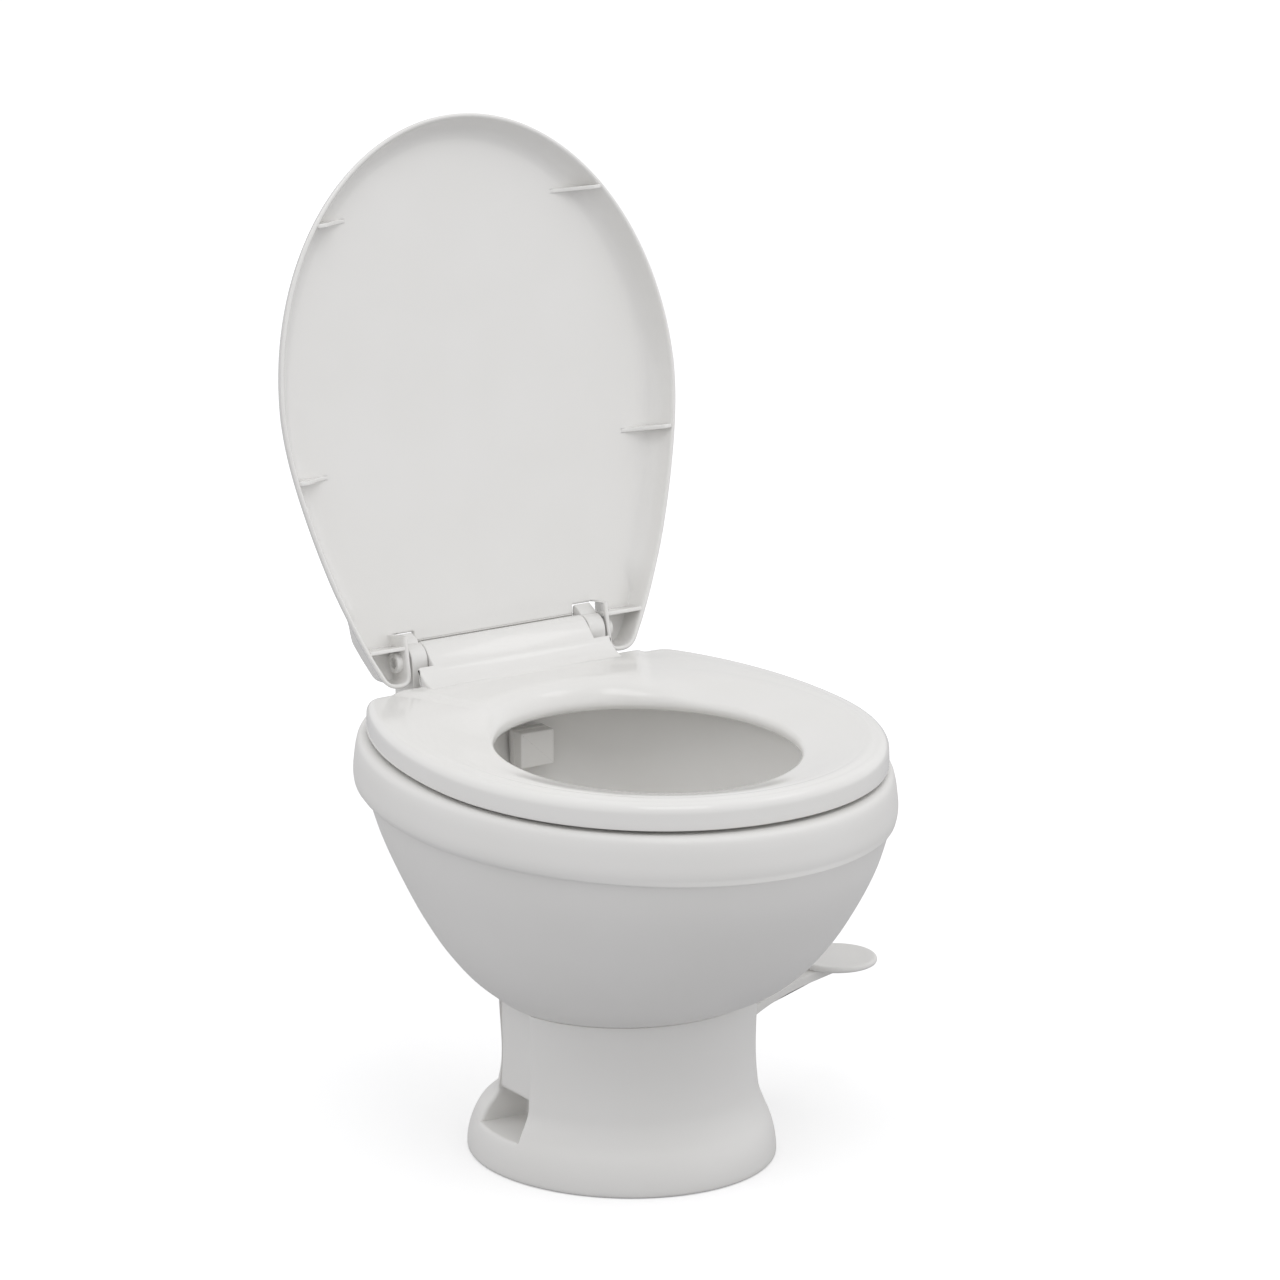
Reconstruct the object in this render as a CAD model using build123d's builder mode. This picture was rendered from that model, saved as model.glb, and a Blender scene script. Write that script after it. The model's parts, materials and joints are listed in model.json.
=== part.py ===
from build123d import *
from math import asin, cos, degrees, radians, sin, sqrt
import os

# A low-profile foot-pedal toilet for a recreational vehicle. Millimetres, +Z up.
# The origin is on the floor at the centre of the waste outlet. The front is -Y.

os.makedirs("parts", exist_ok=True)

# Common values
overrun = 6.0  # how far a cut runs past the faces that it opens
run_fit = 0.05  # radial clearance of a shaft in its bore
part_gap = 0.5  # clearance between neighbours that move past each other
screw_clear = 0.3  # radial clearance of a screw or a spigot in its hole
rest_gap = 0.3  # gap under a bumper at rest
half_turn = 180.0  # degrees

# Outlet, throat and waste valve
outlet_r = 38.0  # three inch waste outlet
outlet_wall = 5.0
throat_r = 34.0
ball_r = 48.0
ball_shell = 3.5
ball_z = 72.0
ball_cap_angle = 52.5  # half angle of the sealing cap
strap_half = 9.0
ball_hub_r = 8.5
ball_hub_in = 38.0
ball_hub_out = 46.0
chamber_gap = 2.5
chamber_wall = 4.0
seal_bore_r = 32.3
seal_gap = 0.3
seal_t = 13.1935
shaft_r = 5.0
boss_r = 11.0
boss_out = 62.0
shaft_seal_r = 8.5
shaft_seal_t = 3.0
idler_end = 60.0
valve_base_z = 14.0
floor_seal_wall = 13.0

# Pedestal
neck_end_room = 33.0  # how much longer the half neck is than a shaft boss
gear_room = 0.85  # from the sector's hub to the inside of the neck
neck_y = -11.0
neck_z = 58.0
deck_t = 5.0
pedestal_wall = 5.0
foot_flare_x = 16.0
foot_flare_y = 30.0
foot_y = -1.5
foot_band = 8.0
foot_round = 2.5
foot_height_shares = (0.0, 0.34, 0.56, 0.84, 1.0)  # from the foot band up to the neck
foot_swell_shares = (1.0, 0.80, 0.48, 0.07, 0.0)

# Side channels and floor bolts
bolt_spacing = 152.4  # six inches between the floor bolts
bolt_hole_r = 5.5
channel_front = -25.0
channel_rear = 32.0
channel_floor = 29.0
channel_top_in = 10.0  # how far the channel's back wall lies inside the neck
niche_rise = 9.0  # upright part of the niche above the channel's floor
niche_slope_rise = 36.0
channel_wall = 3.0

# Bowl shell and rim band
body_half = 184.0
body_front = 233.0
body_rear = 241.0
body_rise = 154.0
bowl_wall = 4.5
body_height_shares = (0.0, 0.104, 0.227, 0.383, 0.578, 0.792, 1.0)
body_swell_shares = (0.03, 0.248, 0.434, 0.61, 0.775, 0.915, 1.0)
band_height = 38.0
rim_half = 191.0
rim_front = 234.0
rim_rear = 253.0
rim_top_in = 10.0  # how much narrower the rim is at its top edge
rim_height_shares = (0.0, 0.4, 0.76, 1.0)
rim_draw_shares = (0.25, 0.0, 0.3, 1.0)
rim_plate = 6.0
breaker_room = 14.0  # behind the vacuum breaker, to the flat back of the bowl
bowl_floor_t = 4.0

# Basin
basin_half = 132.0
basin_len = 170.0
basin_y = -22.0
basin_wall = 4.0
basin_drop = 3.0
basin_neck = 9.0
basin_height_shares = (0.0, 0.137, 0.3, 0.52, 0.765, 1.0)
basin_swell_shares = (0.0, 0.31, 0.575, 0.80, 0.935, 1.0)
basin_lip = 8.0
basin_lip_t = 3.5

# Deck screws
screw_r = 3.0
screw_reach = 50.0
screw_count = 4
screw_head_r = 5.5
screw_head_t = 4.0
screw_grip = 10.0

# Pedal, its pin and its lugs
pin_r = 4.0
lug_r = 6.5
lug_front_near = 52.0
lug_front_far = 60.0
lug_rear_near = 16.5
lug_rear_far = 24.0
clip_t = 1.0
clip_r = 6.5
hub_half = 14.0
hub_r = 7.5
arm_half_z = 4.0
arm_knee_x = 124.6
arm_knee_z = 91.0
arm_end_x = 188.0
arm_end_z = 110.0
pad_x = 196.0
pad_z = 120.0
pad_half_x = 32.0
pad_half_y = 32.5
pad_t = 5.0
pad_round = 2.0
pad_rib_t = 3.0
slot_half = 16.0
slot_below = 14.0
slot_above = 26.0

# Gears between the pedal pin and the ball shaft
gear_module = 2.0
sector_teeth = 44
pinion_teeth = 18
teeth_before = 2
sector_tooth_count = 9
addendum_share = 0.9
dedendum_share = 1.25
tip_half_share = 0.27
root_half_share = 0.98
gear_t = 8.0
gear_gap = 2.0
gear_hub_r = 7.0

# Spring cartridge on the pin
spring_in = 4.35
spring_out = 7.0
spring_len = 22.0

# Water valve and its lever
lever_reach = 12.0
lever_near = 40.0
lever_t = 6.0
lever_hub_r = 7.0
finger_r = 2.5
lever_bar = 3.5
water_y = 43.0
fork_half = 6.0
fork_gap = 1.0
fork_jaw = 4.5
fork_jaw_out = 1.5
stem_r = 3.0
water_drop = 32.0
water_r = 9.0
stem_bore_drop = 7.0
stem_seal_r = 5.5
stem_seal_t = 2.5
port_drop = 16.0
port_r = 8.0
port_y = 56.0
inlet_r = 10.65  # half inch pipe thread
inlet_neck_r = 9.0
inlet_thread = 22.0
inlet_end = 104.0
inlet_bore = 6.0
inlet_bore_from = 62.0

# Rinse hose
hose_r = 5.0
hose_rise = 10.0
hose_side_x = 58.0
hose_side_y = 80.0
hose_side_z = 158.0
hose_back_x = 30.0
hose_back_y = 140.0
hose_back_z = 195.0
hose_foot_drop = 13.0
hose_bend_small = 8.0
hose_bend_large = 28.0

# Vacuum breaker
breaker_reach = 19.0  # from the end of its side port to its axis
breaker_r = 14.0
breaker_len = 71.0
breaker_cap_t = 16.0
float_room = 26.0
breaker_bore = 10.0
breaker_cap_r = 15.0
float_r = 9.6
float_t = 4.0
vent_r = 1.5
vent_reach = 7.0
vent_count = 6
vent_depth = 5.0

# Rinse nozzle
nozzle_drop = 31.0
nozzle_half = 15.0
nozzle_half_z = 14.0
nozzle_depth = 18.0
nozzle_round = 4.0
nozzle_slot_z = 3.0
nozzle_slot_depth = 8.0
collar_r = 9.0
collar_t = 2.0
collar_in = 7.0  # from the basin's rear end to the back of the collar
shank_r = 6.0
nut_r = 10.0
nut_out = 0.8  # from the basin's rear end to the nut
shank_tail = 9.2  # from the nut's front to the end of the shank
nut_t = 5.5

# Seat
seat_gap = 3.0
seat_t = 20.5
seat_half = 180.0
seat_y = -26.0
seat_front = 205.0
seat_rear = 262.0
seat_back_y = 152.0
seat_corner = 22.0
seat_round = 8.0
hole_half = 105.0
hole_len = 127.0
hole_y = -39.0
hole_round = 15.0
seat_skin = 5.0
seat_top_wall = 5.5
bumper_r = 6.0
bumper_in = 20.0  # from the seat's outline to the middle of a bumper
bumper_angles = (88.0, 34.2)  # from the front of the seat

# Hinge
axis_y = 175.0
axis_rise = 15.5
barrel_r = 13.0
barrel_half = 72.5
ramp_foot_y = 122.0
ramp_mid_y = 143.0
ramp_mid_rise = 4.0
ramp_crest_y = 155.0
post_half_t = 7.0
post_half_y = 15.0
shoulder_back = 14.0  # shoulder of a post behind the axis, under the lid's lower edge
shoulder_low = 14.5
shoulder_mid = 8.0
shoulder_top = 19.0
hinge_pin_r = 4.0
hinge_pin_depth = 22.0
stud_r = 3.0
stud_grip = 16.0
stud_tail = 16.0
washer_r = 8.0
washer_t = 1.5
hinge_nut_r = 6.5
hinge_nut_t = 6.0

# Lid, in its own plane: u across, v up from the hinge axis, w towards the seat
lid_open_angle = 101.9
lid_half = 177.0
lid_mid_v = 188.0
lid_tip_v = 412.0
lid_low_len = 260.0
lid_low_v = 19.0
lid_back_w = 12.0
lid_lip_w = 13.0
lid_wall = 4.5
lid_panel = 5.0
lid_round = 9.0
lid_corner = 12.0  # round of the lid's two lower corners
notch_v = 21.0
flap_in = 1.0  # from the end of the barrel to the end of the flap behind it
flap_gap = 2.0  # from the barrel to the inside of the flap
flap_t = 3.5
flap_end_angle = 100.0  # from the lid's face round to the back of the barrel
ear_t = 4.0
ledge_t = 3.0
ear_boss_r = 8.0
ear_boss_out = 8.0
fin_low_v = 148.5
fin_low_u = 165.0
fin_high_v = 341.0
fin_high_u = 124.5
fin_reach = 32.0
fin_t = 3.0

# Derived values
chamber_r = ball_r + chamber_gap
valve_half = chamber_r + chamber_wall
seal_bore_reach = sqrt(ball_r**2 - seal_bore_r**2)
seal_z = ball_z + seal_bore_reach + seal_gap
seal_wall = throat_r + ball_shell
deck_z = seal_z + seal_t
joint_z = deck_z + deck_t  # level of the joint between the pedestal and the bowl
pin_x = gear_module * (sector_teeth + pinion_teeth) / 2
gear_front = boss_out + gear_gap
pin_front = gear_front + gear_t + 2 * clip_t
neck_len = boss_out + neck_end_room
gear_end_share = (gear_front + gear_t + neck_y) / (neck_len - pedestal_wall)
neck_half = pedestal_wall + (pin_x + gear_hub_r + gear_room) / sqrt(1 - gear_end_share**2)
foot_half = neck_half + foot_flare_x
foot_len = neck_len + foot_flare_y
channel_low_x = valve_half + chamber_gap + channel_wall
channel_top_x = neck_half - channel_top_in
niche_z = channel_floor + niche_rise
niche_top_z = niche_z + niche_slope_rise
slot_low = ball_z - slot_below
slot_high = ball_z + slot_above
water_base = deck_z - water_drop
stem_bore_top = deck_z - stem_bore_drop
port_z = deck_z - port_drop
body_top = joint_z + body_rise
rim_top = body_top + band_height
basin_neck_top = joint_z + basin_neck
seat_base = rim_top + seat_gap
seat_top = seat_base + seat_t
seat_recess_top = seat_top - seat_top_wall
axis_z = seat_top + axis_rise
nozzle_z = rim_top - nozzle_drop
breaker_top = rim_top - rim_plate - breaker_cap_t
breaker_seat = breaker_top - float_room
breaker_low = breaker_top - breaker_len
basin_back = basin_y + basin_len
collar_y = basin_back - collar_in
nozzle_back = collar_y - collar_t
nozzle_front = nozzle_back - nozzle_depth
nut_y = basin_back + nut_out
breaker_port_y = nut_y + shank_tail
breaker_y = breaker_port_y + breaker_reach
rear_flat = breaker_y + breaker_r + breaker_room
post_x = barrel_half + part_gap + post_half_t
post_out = post_x + post_half_t
ear_x = post_out + 3 * part_gap
top_plate_z = rim_top - rim_plate
lid_gap_w = axis_z - seat_top - rest_gap
flap_half = barrel_half - flap_in
flap_r = barrel_r + flap_gap
ledge_end_u = lid_half * sqrt(1 - ((lid_mid_v - notch_v) / lid_low_len) ** 2) - lid_wall / 2


def oval(half, front, rear, centre):
    """An outline of two half ellipses that share their width."""
    with BuildSketch() as outline:
        with BuildLine():
            EllipticalCenterArc((0, centre), half, rear, start_angle=0, arc_size=half_turn)
            EllipticalCenterArc((0, centre), half, front, start_angle=half_turn, arc_size=half_turn)
        make_face()
    return outline.sketch


def body_sections(inset, floor_z, ceiling_z):
    """The swelling sections of the bowl body, drawn in by inset."""
    sections = []
    for height, swell in zip(body_height_shares, body_swell_shares):
        outline = oval(
            neck_half + (body_half - neck_half) * swell - inset,
            neck_len + (body_front - neck_len) * swell - inset,
            neck_len + (body_rear - neck_len) * swell - inset,
            neck_y,
        )
        sections.append(Plane.XY.offset(floor_z + (ceiling_z - floor_z) * height) * outline)
    return sections


def basin_sections(grow, drop):
    """The sections of the basin's inside, grown by its wall and let down."""
    sections = []
    for height, swell in zip(basin_height_shares, basin_swell_shares):
        rise = (rim_top - basin_neck_top + drop) * height
        half = throat_r + (basin_half - throat_r) * swell + grow
        long = throat_r + (basin_len - throat_r) * swell + grow
        outline = oval(half, long, long, basin_y * swell)
        sections.append(Plane.XY.offset(basin_neck_top - drop + rise) * outline)
    return sections


# Pedestal: a flared foot, a neck and a deck, with a channel on each side
with BuildPart() as channel_walls:
    with BuildSketch(Plane.XZ.offset(-channel_rear - channel_wall)):
        for side in (1, -1):
            with BuildLine():
                Polyline(
                    (side * (channel_low_x - channel_wall), 0),
                    (side * (channel_low_x - channel_wall), niche_z),
                    (side * (channel_top_x - channel_wall), niche_top_z),
                    (side * (channel_top_x - channel_wall), joint_z),
                    (side * neck_half, joint_z),
                    (side * neck_half, 0),
                    close=True,
                )
            make_face()
    extrude(amount=channel_rear - channel_front + 2 * channel_wall)
    with BuildSketch(Plane.XY):
        add(oval(neck_half, neck_len, neck_len, neck_y))
    extrude(amount=joint_z, mode=Mode.INTERSECT)

foot_sections = []
for height, swell in zip(foot_height_shares, foot_swell_shares):
    half = neck_half + (foot_half - neck_half) * swell
    long = neck_len + (foot_len - neck_len) * swell
    outline = oval(half, long, long, neck_y + (foot_y - neck_y) * swell)
    foot_sections.append(Plane.XY.offset(foot_band + (neck_z - foot_band) * height) * outline)
with BuildPart() as pedestal:
    with BuildSketch(Plane.XY):
        add(oval(foot_half, foot_len, foot_len, foot_y))
    extrude(amount=foot_band)
    chamfer(pedestal.edges().group_by(Axis.Z)[0], foot_round)
    loft(sections=foot_sections)
    with BuildSketch(Plane.XY.offset(neck_z)):
        add(oval(neck_half, neck_len, neck_len, neck_y))
    extrude(amount=joint_z - neck_z)
    with BuildSketch(Plane.XY):
        cavity_len = neck_len - pedestal_wall
        add(oval(neck_half - pedestal_wall, cavity_len, cavity_len, neck_y))
    extrude(amount=deck_z, mode=Mode.SUBTRACT)
    add(channel_walls.part)
    with BuildSketch(Plane.XZ.offset(-channel_rear)):
        for side in (1, -1):
            with BuildLine():
                Polyline(
                    (side * channel_low_x, channel_floor),
                    (side * channel_low_x, niche_z),
                    (side * channel_top_x, niche_top_z),
                    (side * channel_top_x, joint_z + overrun),
                    (side * (foot_half + overrun), joint_z + overrun),
                    (side * (foot_half + overrun), channel_floor),
                    close=True,
                )
            make_face()
    extrude(amount=channel_rear - channel_front, mode=Mode.SUBTRACT)
    # floor bolt holes
    with BuildSketch(Plane.XY.offset(-overrun)):
        with GridLocations(bolt_spacing, 0, 2, 1):
            Circle(bolt_hole_r)
    extrude(amount=channel_floor + 2 * overrun, mode=Mode.SUBTRACT)
    # deck opening, screw holes and hose hole
    with BuildSketch(Plane.XY.offset(deck_z - overrun)):
        Circle(throat_r + 2 * outlet_wall)
        with PolarLocations(screw_reach, screw_count, start_angle=45):
            Circle(screw_r + screw_clear)
        with Locations((pin_x - lever_reach, water_y)):
            Circle(hose_r + screw_clear)
    extrude(amount=deck_t + 2 * overrun, mode=Mode.SUBTRACT)
    # slot of the pedal arm
    with BuildSketch(Plane.XZ.offset(-slot_half)):
        with BuildLine():
            Polyline(
                (pin_x - hub_r - overrun, slot_low),
                (channel_top_x, slot_low),
                (channel_top_x, slot_high),
                (pin_x - hub_r - overrun, slot_high),
                close=True,
            )
        make_face()
    extrude(amount=2 * slot_half, mode=Mode.SUBTRACT)
    # hole of the water inlet in the rear wall
    with BuildSketch(Plane.XZ.offset(-port_y)):
        with Locations((pin_x - lever_reach, port_z)):
            Circle(inlet_neck_r + screw_clear)
    extrude(amount=-(neck_len + neck_y), mode=Mode.SUBTRACT)
pedestal.part.label = "pedestal"
export_step(pedestal.part, "parts/pedestal.step")

# Bowl: the outer shell with its rim band, open inside
hollow_sections = body_sections(bowl_wall, joint_z + bowl_floor_t, body_top)
with BuildPart() as bowl_hollow:
    loft(sections=hollow_sections)
    with BuildSketch(Plane.XY.offset(body_top)):
        add(oval(body_half - bowl_wall, body_front - bowl_wall, body_rear - bowl_wall, neck_y))
    extrude(amount=top_plate_z - body_top)
    split(bisect_by=Plane.XZ.offset(-(rear_flat - bowl_wall)), keep=Keep.TOP)

bowl_sections = body_sections(0, joint_z, body_top)
rim_sections = []
for height, draw in zip(rim_height_shares, rim_draw_shares):
    inset = rim_top_in * draw
    outline = oval(rim_half - inset, rim_front - inset, rim_rear - inset, neck_y)
    rim_sections.append(Plane.XY.offset(body_top + (rim_top - body_top) * height) * outline)
with BuildPart() as bowl:
    loft(sections=bowl_sections)
    loft(sections=rim_sections)
    split(bisect_by=Plane.XZ.offset(-rear_flat), keep=Keep.TOP)
    add(bowl_hollow.part, mode=Mode.SUBTRACT)
    # opening and lip seat of the basin
    with BuildSketch(Plane.XY.offset(top_plate_z - overrun)):
        opening_half = basin_half + basin_wall + screw_clear
        opening_len = basin_len + basin_wall + screw_clear
        add(oval(opening_half, opening_len, opening_len, basin_y))
    extrude(amount=rim_plate + 2 * overrun, mode=Mode.SUBTRACT)
    with BuildSketch(Plane.XY.offset(rim_top - basin_lip_t)):
        lip_half = basin_half + basin_lip + screw_clear
        lip_len = basin_len + basin_lip + screw_clear
        add(oval(lip_half, lip_len, lip_len, basin_y))
    extrude(amount=basin_lip_t + overrun, mode=Mode.SUBTRACT)
    # floor opening, screw holes and hose hole
    with BuildSketch(Plane.XY.offset(joint_z - overrun)):
        Circle(throat_r + basin_wall + screw_clear)
        with PolarLocations(screw_reach, screw_count, start_angle=45):
            Circle(screw_r + screw_clear)
        with Locations((pin_x - lever_reach, water_y)):
            Circle(hose_r + screw_clear)
    extrude(amount=bowl_floor_t + 2 * overrun, mode=Mode.SUBTRACT)
    # holes of the hinge studs
    with BuildSketch(Plane.XY.offset(top_plate_z - overrun)):
        with Locations((post_x, axis_y), (-post_x, axis_y)):
            Circle(stud_r + screw_clear)
    extrude(amount=rim_plate + 2 * overrun, mode=Mode.SUBTRACT)
bowl.part.label = "bowl"
export_step(bowl.part, "parts/bowl.step")

# Basin: the glossy funnel hung in the rim, with its neck on the deck
basin_outside = basin_sections(basin_wall, basin_drop)
basin_inside = basin_sections(0, 0)
with BuildPart() as basin:
    loft(sections=basin_outside)
    with BuildSketch(Plane.XY.offset(joint_z)):
        Circle(throat_r + basin_wall)
    extrude(amount=basin_neck_top - basin_drop - joint_z)
    with BuildSketch(Plane.XY.offset(rim_top - basin_lip_t)):
        add(oval(basin_half + basin_lip, basin_len + basin_lip, basin_len + basin_lip, basin_y))
    extrude(amount=basin_lip_t)
    loft(sections=basin_inside, mode=Mode.SUBTRACT)
    with BuildSketch(Plane.XY.offset(joint_z - overrun)):
        Circle(throat_r)
    extrude(amount=basin_neck_top - joint_z + overrun, mode=Mode.SUBTRACT)
    # hole of the nozzle shank
    with BuildSketch(Plane.XZ.offset(-collar_y + overrun)):
        with Locations((0, nozzle_z)):
            Circle(shank_r + screw_clear)
    extrude(amount=-(nut_y - collar_y + 2 * overrun), mode=Mode.SUBTRACT)
basin.part.label = "basin"
export_step(basin.part, "parts/basin.step")

# Ring gasket between the basin neck and the valve
with BuildPart() as bowl_gasket:
    with BuildSketch(Plane.XY.offset(deck_z)):
        Circle(throat_r + 2 * outlet_wall - screw_clear)
        Circle(throat_r, mode=Mode.SUBTRACT)
    extrude(amount=deck_t)
bowl_gasket.part.label = "bowl_gasket"
export_step(bowl_gasket.part, "parts/bowl_gasket.step")

# Screws through the bowl floor and the deck into the valve body
with BuildPart() as bowl_screws:
    with BuildSketch(Plane.XY.offset(deck_z - screw_grip)):
        with PolarLocations(screw_reach, screw_count, start_angle=45):
            Circle(screw_r)
    extrude(amount=screw_grip + deck_t + bowl_floor_t)
    with BuildSketch(Plane.XY.offset(joint_z + bowl_floor_t)):
        with PolarLocations(screw_reach, screw_count, start_angle=45):
            Circle(screw_head_r)
    extrude(amount=screw_head_t)
bowl_screws.part.label = "bowl_screws"
export_step(bowl_screws.part, "parts/bowl_screws.step")

# Valve body: the round chamber of the ball, with its outlet spigot and lugs
with BuildPart() as valve_body:
    with BuildSketch(Plane.XY.offset(valve_base_z)):
        Circle(valve_half)
    extrude(amount=deck_z - valve_base_z)
    with BuildSketch(Plane.XY):
        Circle(outlet_r + outlet_wall)
    extrude(amount=valve_base_z)
    # bosses of the ball shaft
    with BuildSketch(Plane.XZ.offset(-boss_out)):
        with Locations((0, ball_z)):
            Circle(boss_r)
    extrude(amount=2 * boss_out)
    # front and rear lugs of the pedal pin
    for near, far in ((lug_front_near, lug_front_far), (-lug_rear_far, -lug_rear_near)):
        with BuildSketch(Plane.XZ.offset(near)):
            with Locations((pin_x, ball_z)):
                Circle(lug_r)
            with Locations((pin_x / 2, ball_z)):
                Rectangle(pin_x, 2 * lug_r)
        extrude(amount=far - near)
    # ball chamber, throat and outlet
    with BuildSketch(Plane.XZ):
        with BuildLine():
            chamber_floor = ball_z - chamber_r
            seal_level = seal_z - ball_z
            top_x = sqrt(chamber_r**2 - seal_level**2)
            Polyline((0, chamber_floor), (0, seal_z), (top_x, seal_z))
            ThreePointArc((top_x, seal_z), (chamber_r, ball_z), (0, chamber_floor))
        make_face()
    revolve(axis=Axis.Z, mode=Mode.SUBTRACT)
    with BuildSketch(Plane.XY.offset(seal_z)):
        Circle(seal_wall)
    extrude(amount=deck_z - seal_z + overrun, mode=Mode.SUBTRACT)
    with BuildSketch(Plane.XY.offset(-overrun)):
        Circle(outlet_r)
    extrude(amount=ball_z + overrun, mode=Mode.SUBTRACT)
    # shaft bores and the seats of their seals
    with BuildSketch(Plane.XZ.offset(-boss_out - overrun)):
        with Locations((0, ball_z)):
            Circle(shaft_r + run_fit)
    extrude(amount=2 * (boss_out + overrun), mode=Mode.SUBTRACT)
    for face, depth in ((boss_out, -shaft_seal_t), (-boss_out, shaft_seal_t)):
        with BuildSketch(Plane.XZ.offset(face)):
            with Locations((0, ball_z)):
                Circle(shaft_seal_r)
        extrude(amount=depth, mode=Mode.SUBTRACT)
    # pin bore and screw holes
    with BuildSketch(Plane.XZ.offset(-lug_rear_far - overrun)):
        with Locations((pin_x, ball_z)):
            Circle(pin_r + run_fit)
    extrude(amount=lug_rear_far + lug_front_far + 2 * overrun, mode=Mode.SUBTRACT)
    with BuildSketch(Plane.XY.offset(deck_z)):
        with PolarLocations(screw_reach, screw_count, start_angle=45):
            Circle(screw_r)
    extrude(amount=-screw_grip, mode=Mode.SUBTRACT)
valve_body.part.label = "valve_body"
export_step(valve_body.part, "parts/valve_body.step")

# Seal ring that the ball closes against
with BuildPart() as ball_seal:
    with BuildSketch(Plane.XY.offset(seal_z)):
        Circle(seal_wall)
        Circle(seal_bore_r, mode=Mode.SUBTRACT)
    extrude(amount=deck_z - seal_z)
ball_seal.part.label = "ball_seal"
export_step(ball_seal.part, "parts/ball_seal.step")

# Seal between the outlet spigot and the floor
with BuildPart() as floor_seal:
    with BuildSketch(Plane.XY):
        Circle(outlet_r + outlet_wall + floor_seal_wall)
        Circle(outlet_r + outlet_wall, mode=Mode.SUBTRACT)
    extrude(amount=valve_base_z)
floor_seal.part.label = "floor_seal"
export_step(floor_seal.part, "parts/floor_seal.step")

# Flush ball: a spherical cap on two straps, with a hub at each end
with BuildPart() as flush_ball:
    with BuildSketch(Plane.XZ):
        with BuildLine():
            edge_angle = radians(90 - ball_cap_angle)
            mid_angle = radians(90 - ball_cap_angle / 2)
            inner_r = ball_r - ball_shell
            outer_edge = (ball_r * cos(edge_angle), ball_z + ball_r * sin(edge_angle))
            inner_edge = (inner_r * cos(edge_angle), ball_z + inner_r * sin(edge_angle))
            outer_mid = (ball_r * cos(mid_angle), ball_z + ball_r * sin(mid_angle))
            inner_mid = (inner_r * cos(mid_angle), ball_z + inner_r * sin(mid_angle))
            ThreePointArc((0, ball_z + ball_r), outer_mid, outer_edge)
            Line(outer_edge, inner_edge)
            ThreePointArc(inner_edge, inner_mid, (0, ball_z + inner_r))
            Line((0, ball_z + inner_r), (0, ball_z + ball_r))
        make_face()
    revolve(axis=Axis.Z)
    with BuildSketch(Plane.YZ.offset(-strap_half)):
        with Locations((0, ball_z)):
            Circle(ball_r - part_gap)
            Circle(ball_r - ball_shell, mode=Mode.SUBTRACT)
        with Locations((0, ball_z - (ball_r + overrun) / 2)):
            Rectangle(2 * (ball_r + overrun), ball_r + overrun, mode=Mode.SUBTRACT)
    extrude(amount=2 * strap_half)
    for side in (1, -1):
        with BuildSketch(Plane.XZ.offset(side * ball_hub_in)):
            with Locations((0, ball_z)):
                Circle(ball_hub_r)
        extrude(amount=side * (ball_hub_out - ball_hub_in))
        with BuildSketch(Plane.XZ.offset(side * (ball_hub_in - overrun))):
            with Locations((0, ball_z)):
                Circle(shaft_r)
        extrude(amount=side * (ball_r - ball_hub_in + 2 * overrun), mode=Mode.SUBTRACT)
    # keep the corners of the straps inside the ball
    with Locations((0, 0, ball_z)):
        Sphere(ball_r, mode=Mode.INTERSECT)
flush_ball.part.label = "flush_ball"
export_step(flush_ball.part, "parts/flush_ball.step")

# Shafts of the ball: the driven one in front and the idle one behind
with BuildPart() as ball_shafts:
    with BuildSketch(Plane.XZ.offset(ball_hub_in)):
        with Locations((0, ball_z)):
            Circle(shaft_r)
    extrude(amount=gear_front + gear_t + 2 * clip_t - ball_hub_in)
    with BuildSketch(Plane.XZ.offset(-ball_hub_in)):
        with Locations((0, ball_z)):
            Circle(shaft_r)
    extrude(amount=-(idler_end - ball_hub_in))
ball_shafts.part.label = "ball_shafts"
export_step(ball_shafts.part, "parts/ball_shafts.step")

# Seal rings of the two shafts
with BuildPart() as shaft_seals:
    for face, depth in ((boss_out, -shaft_seal_t), (-boss_out, shaft_seal_t)):
        with BuildSketch(Plane.XZ.offset(face)):
            with Locations((0, ball_z)):
                Circle(shaft_seal_r)
                Circle(shaft_r + run_fit, mode=Mode.SUBTRACT)
        extrude(amount=depth)
shaft_seals.part.label = "shaft_seals"
export_step(shaft_seals.part, "parts/shaft_seals.step")

# Tooth form that both gears share
tooth_out = gear_module * addendum_share
tooth_in = gear_module * dedendum_share
tip_half = gear_module * tip_half_share
root_half = gear_module * root_half_share
tooth_points = (
    (-tooth_in - tip_half, -root_half),
    (tooth_out, -tip_half),
    (tooth_out, tip_half),
    (-tooth_in - tip_half, root_half),
)
sector_r = gear_module * sector_teeth / 2
pinion_r = gear_module * pinion_teeth / 2
sector_pitch = 360 / sector_teeth
pinion_pitch = 360 / pinion_teeth

# Pinion on the driven shaft
with BuildPart() as ball_pinion:
    with BuildSketch(Plane.XZ.offset(gear_front)):
        with Locations((0, ball_z)):
            Circle(pinion_r - tooth_in)
            with PolarLocations(pinion_r, pinion_teeth, start_angle=pinion_pitch / 2):
                Polygon(*tooth_points, align=None)
            Circle(shaft_r, mode=Mode.SUBTRACT)
    extrude(amount=gear_t)
ball_pinion.part.label = "ball_pinion"
export_step(ball_pinion.part, "parts/ball_pinion.step")

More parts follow.
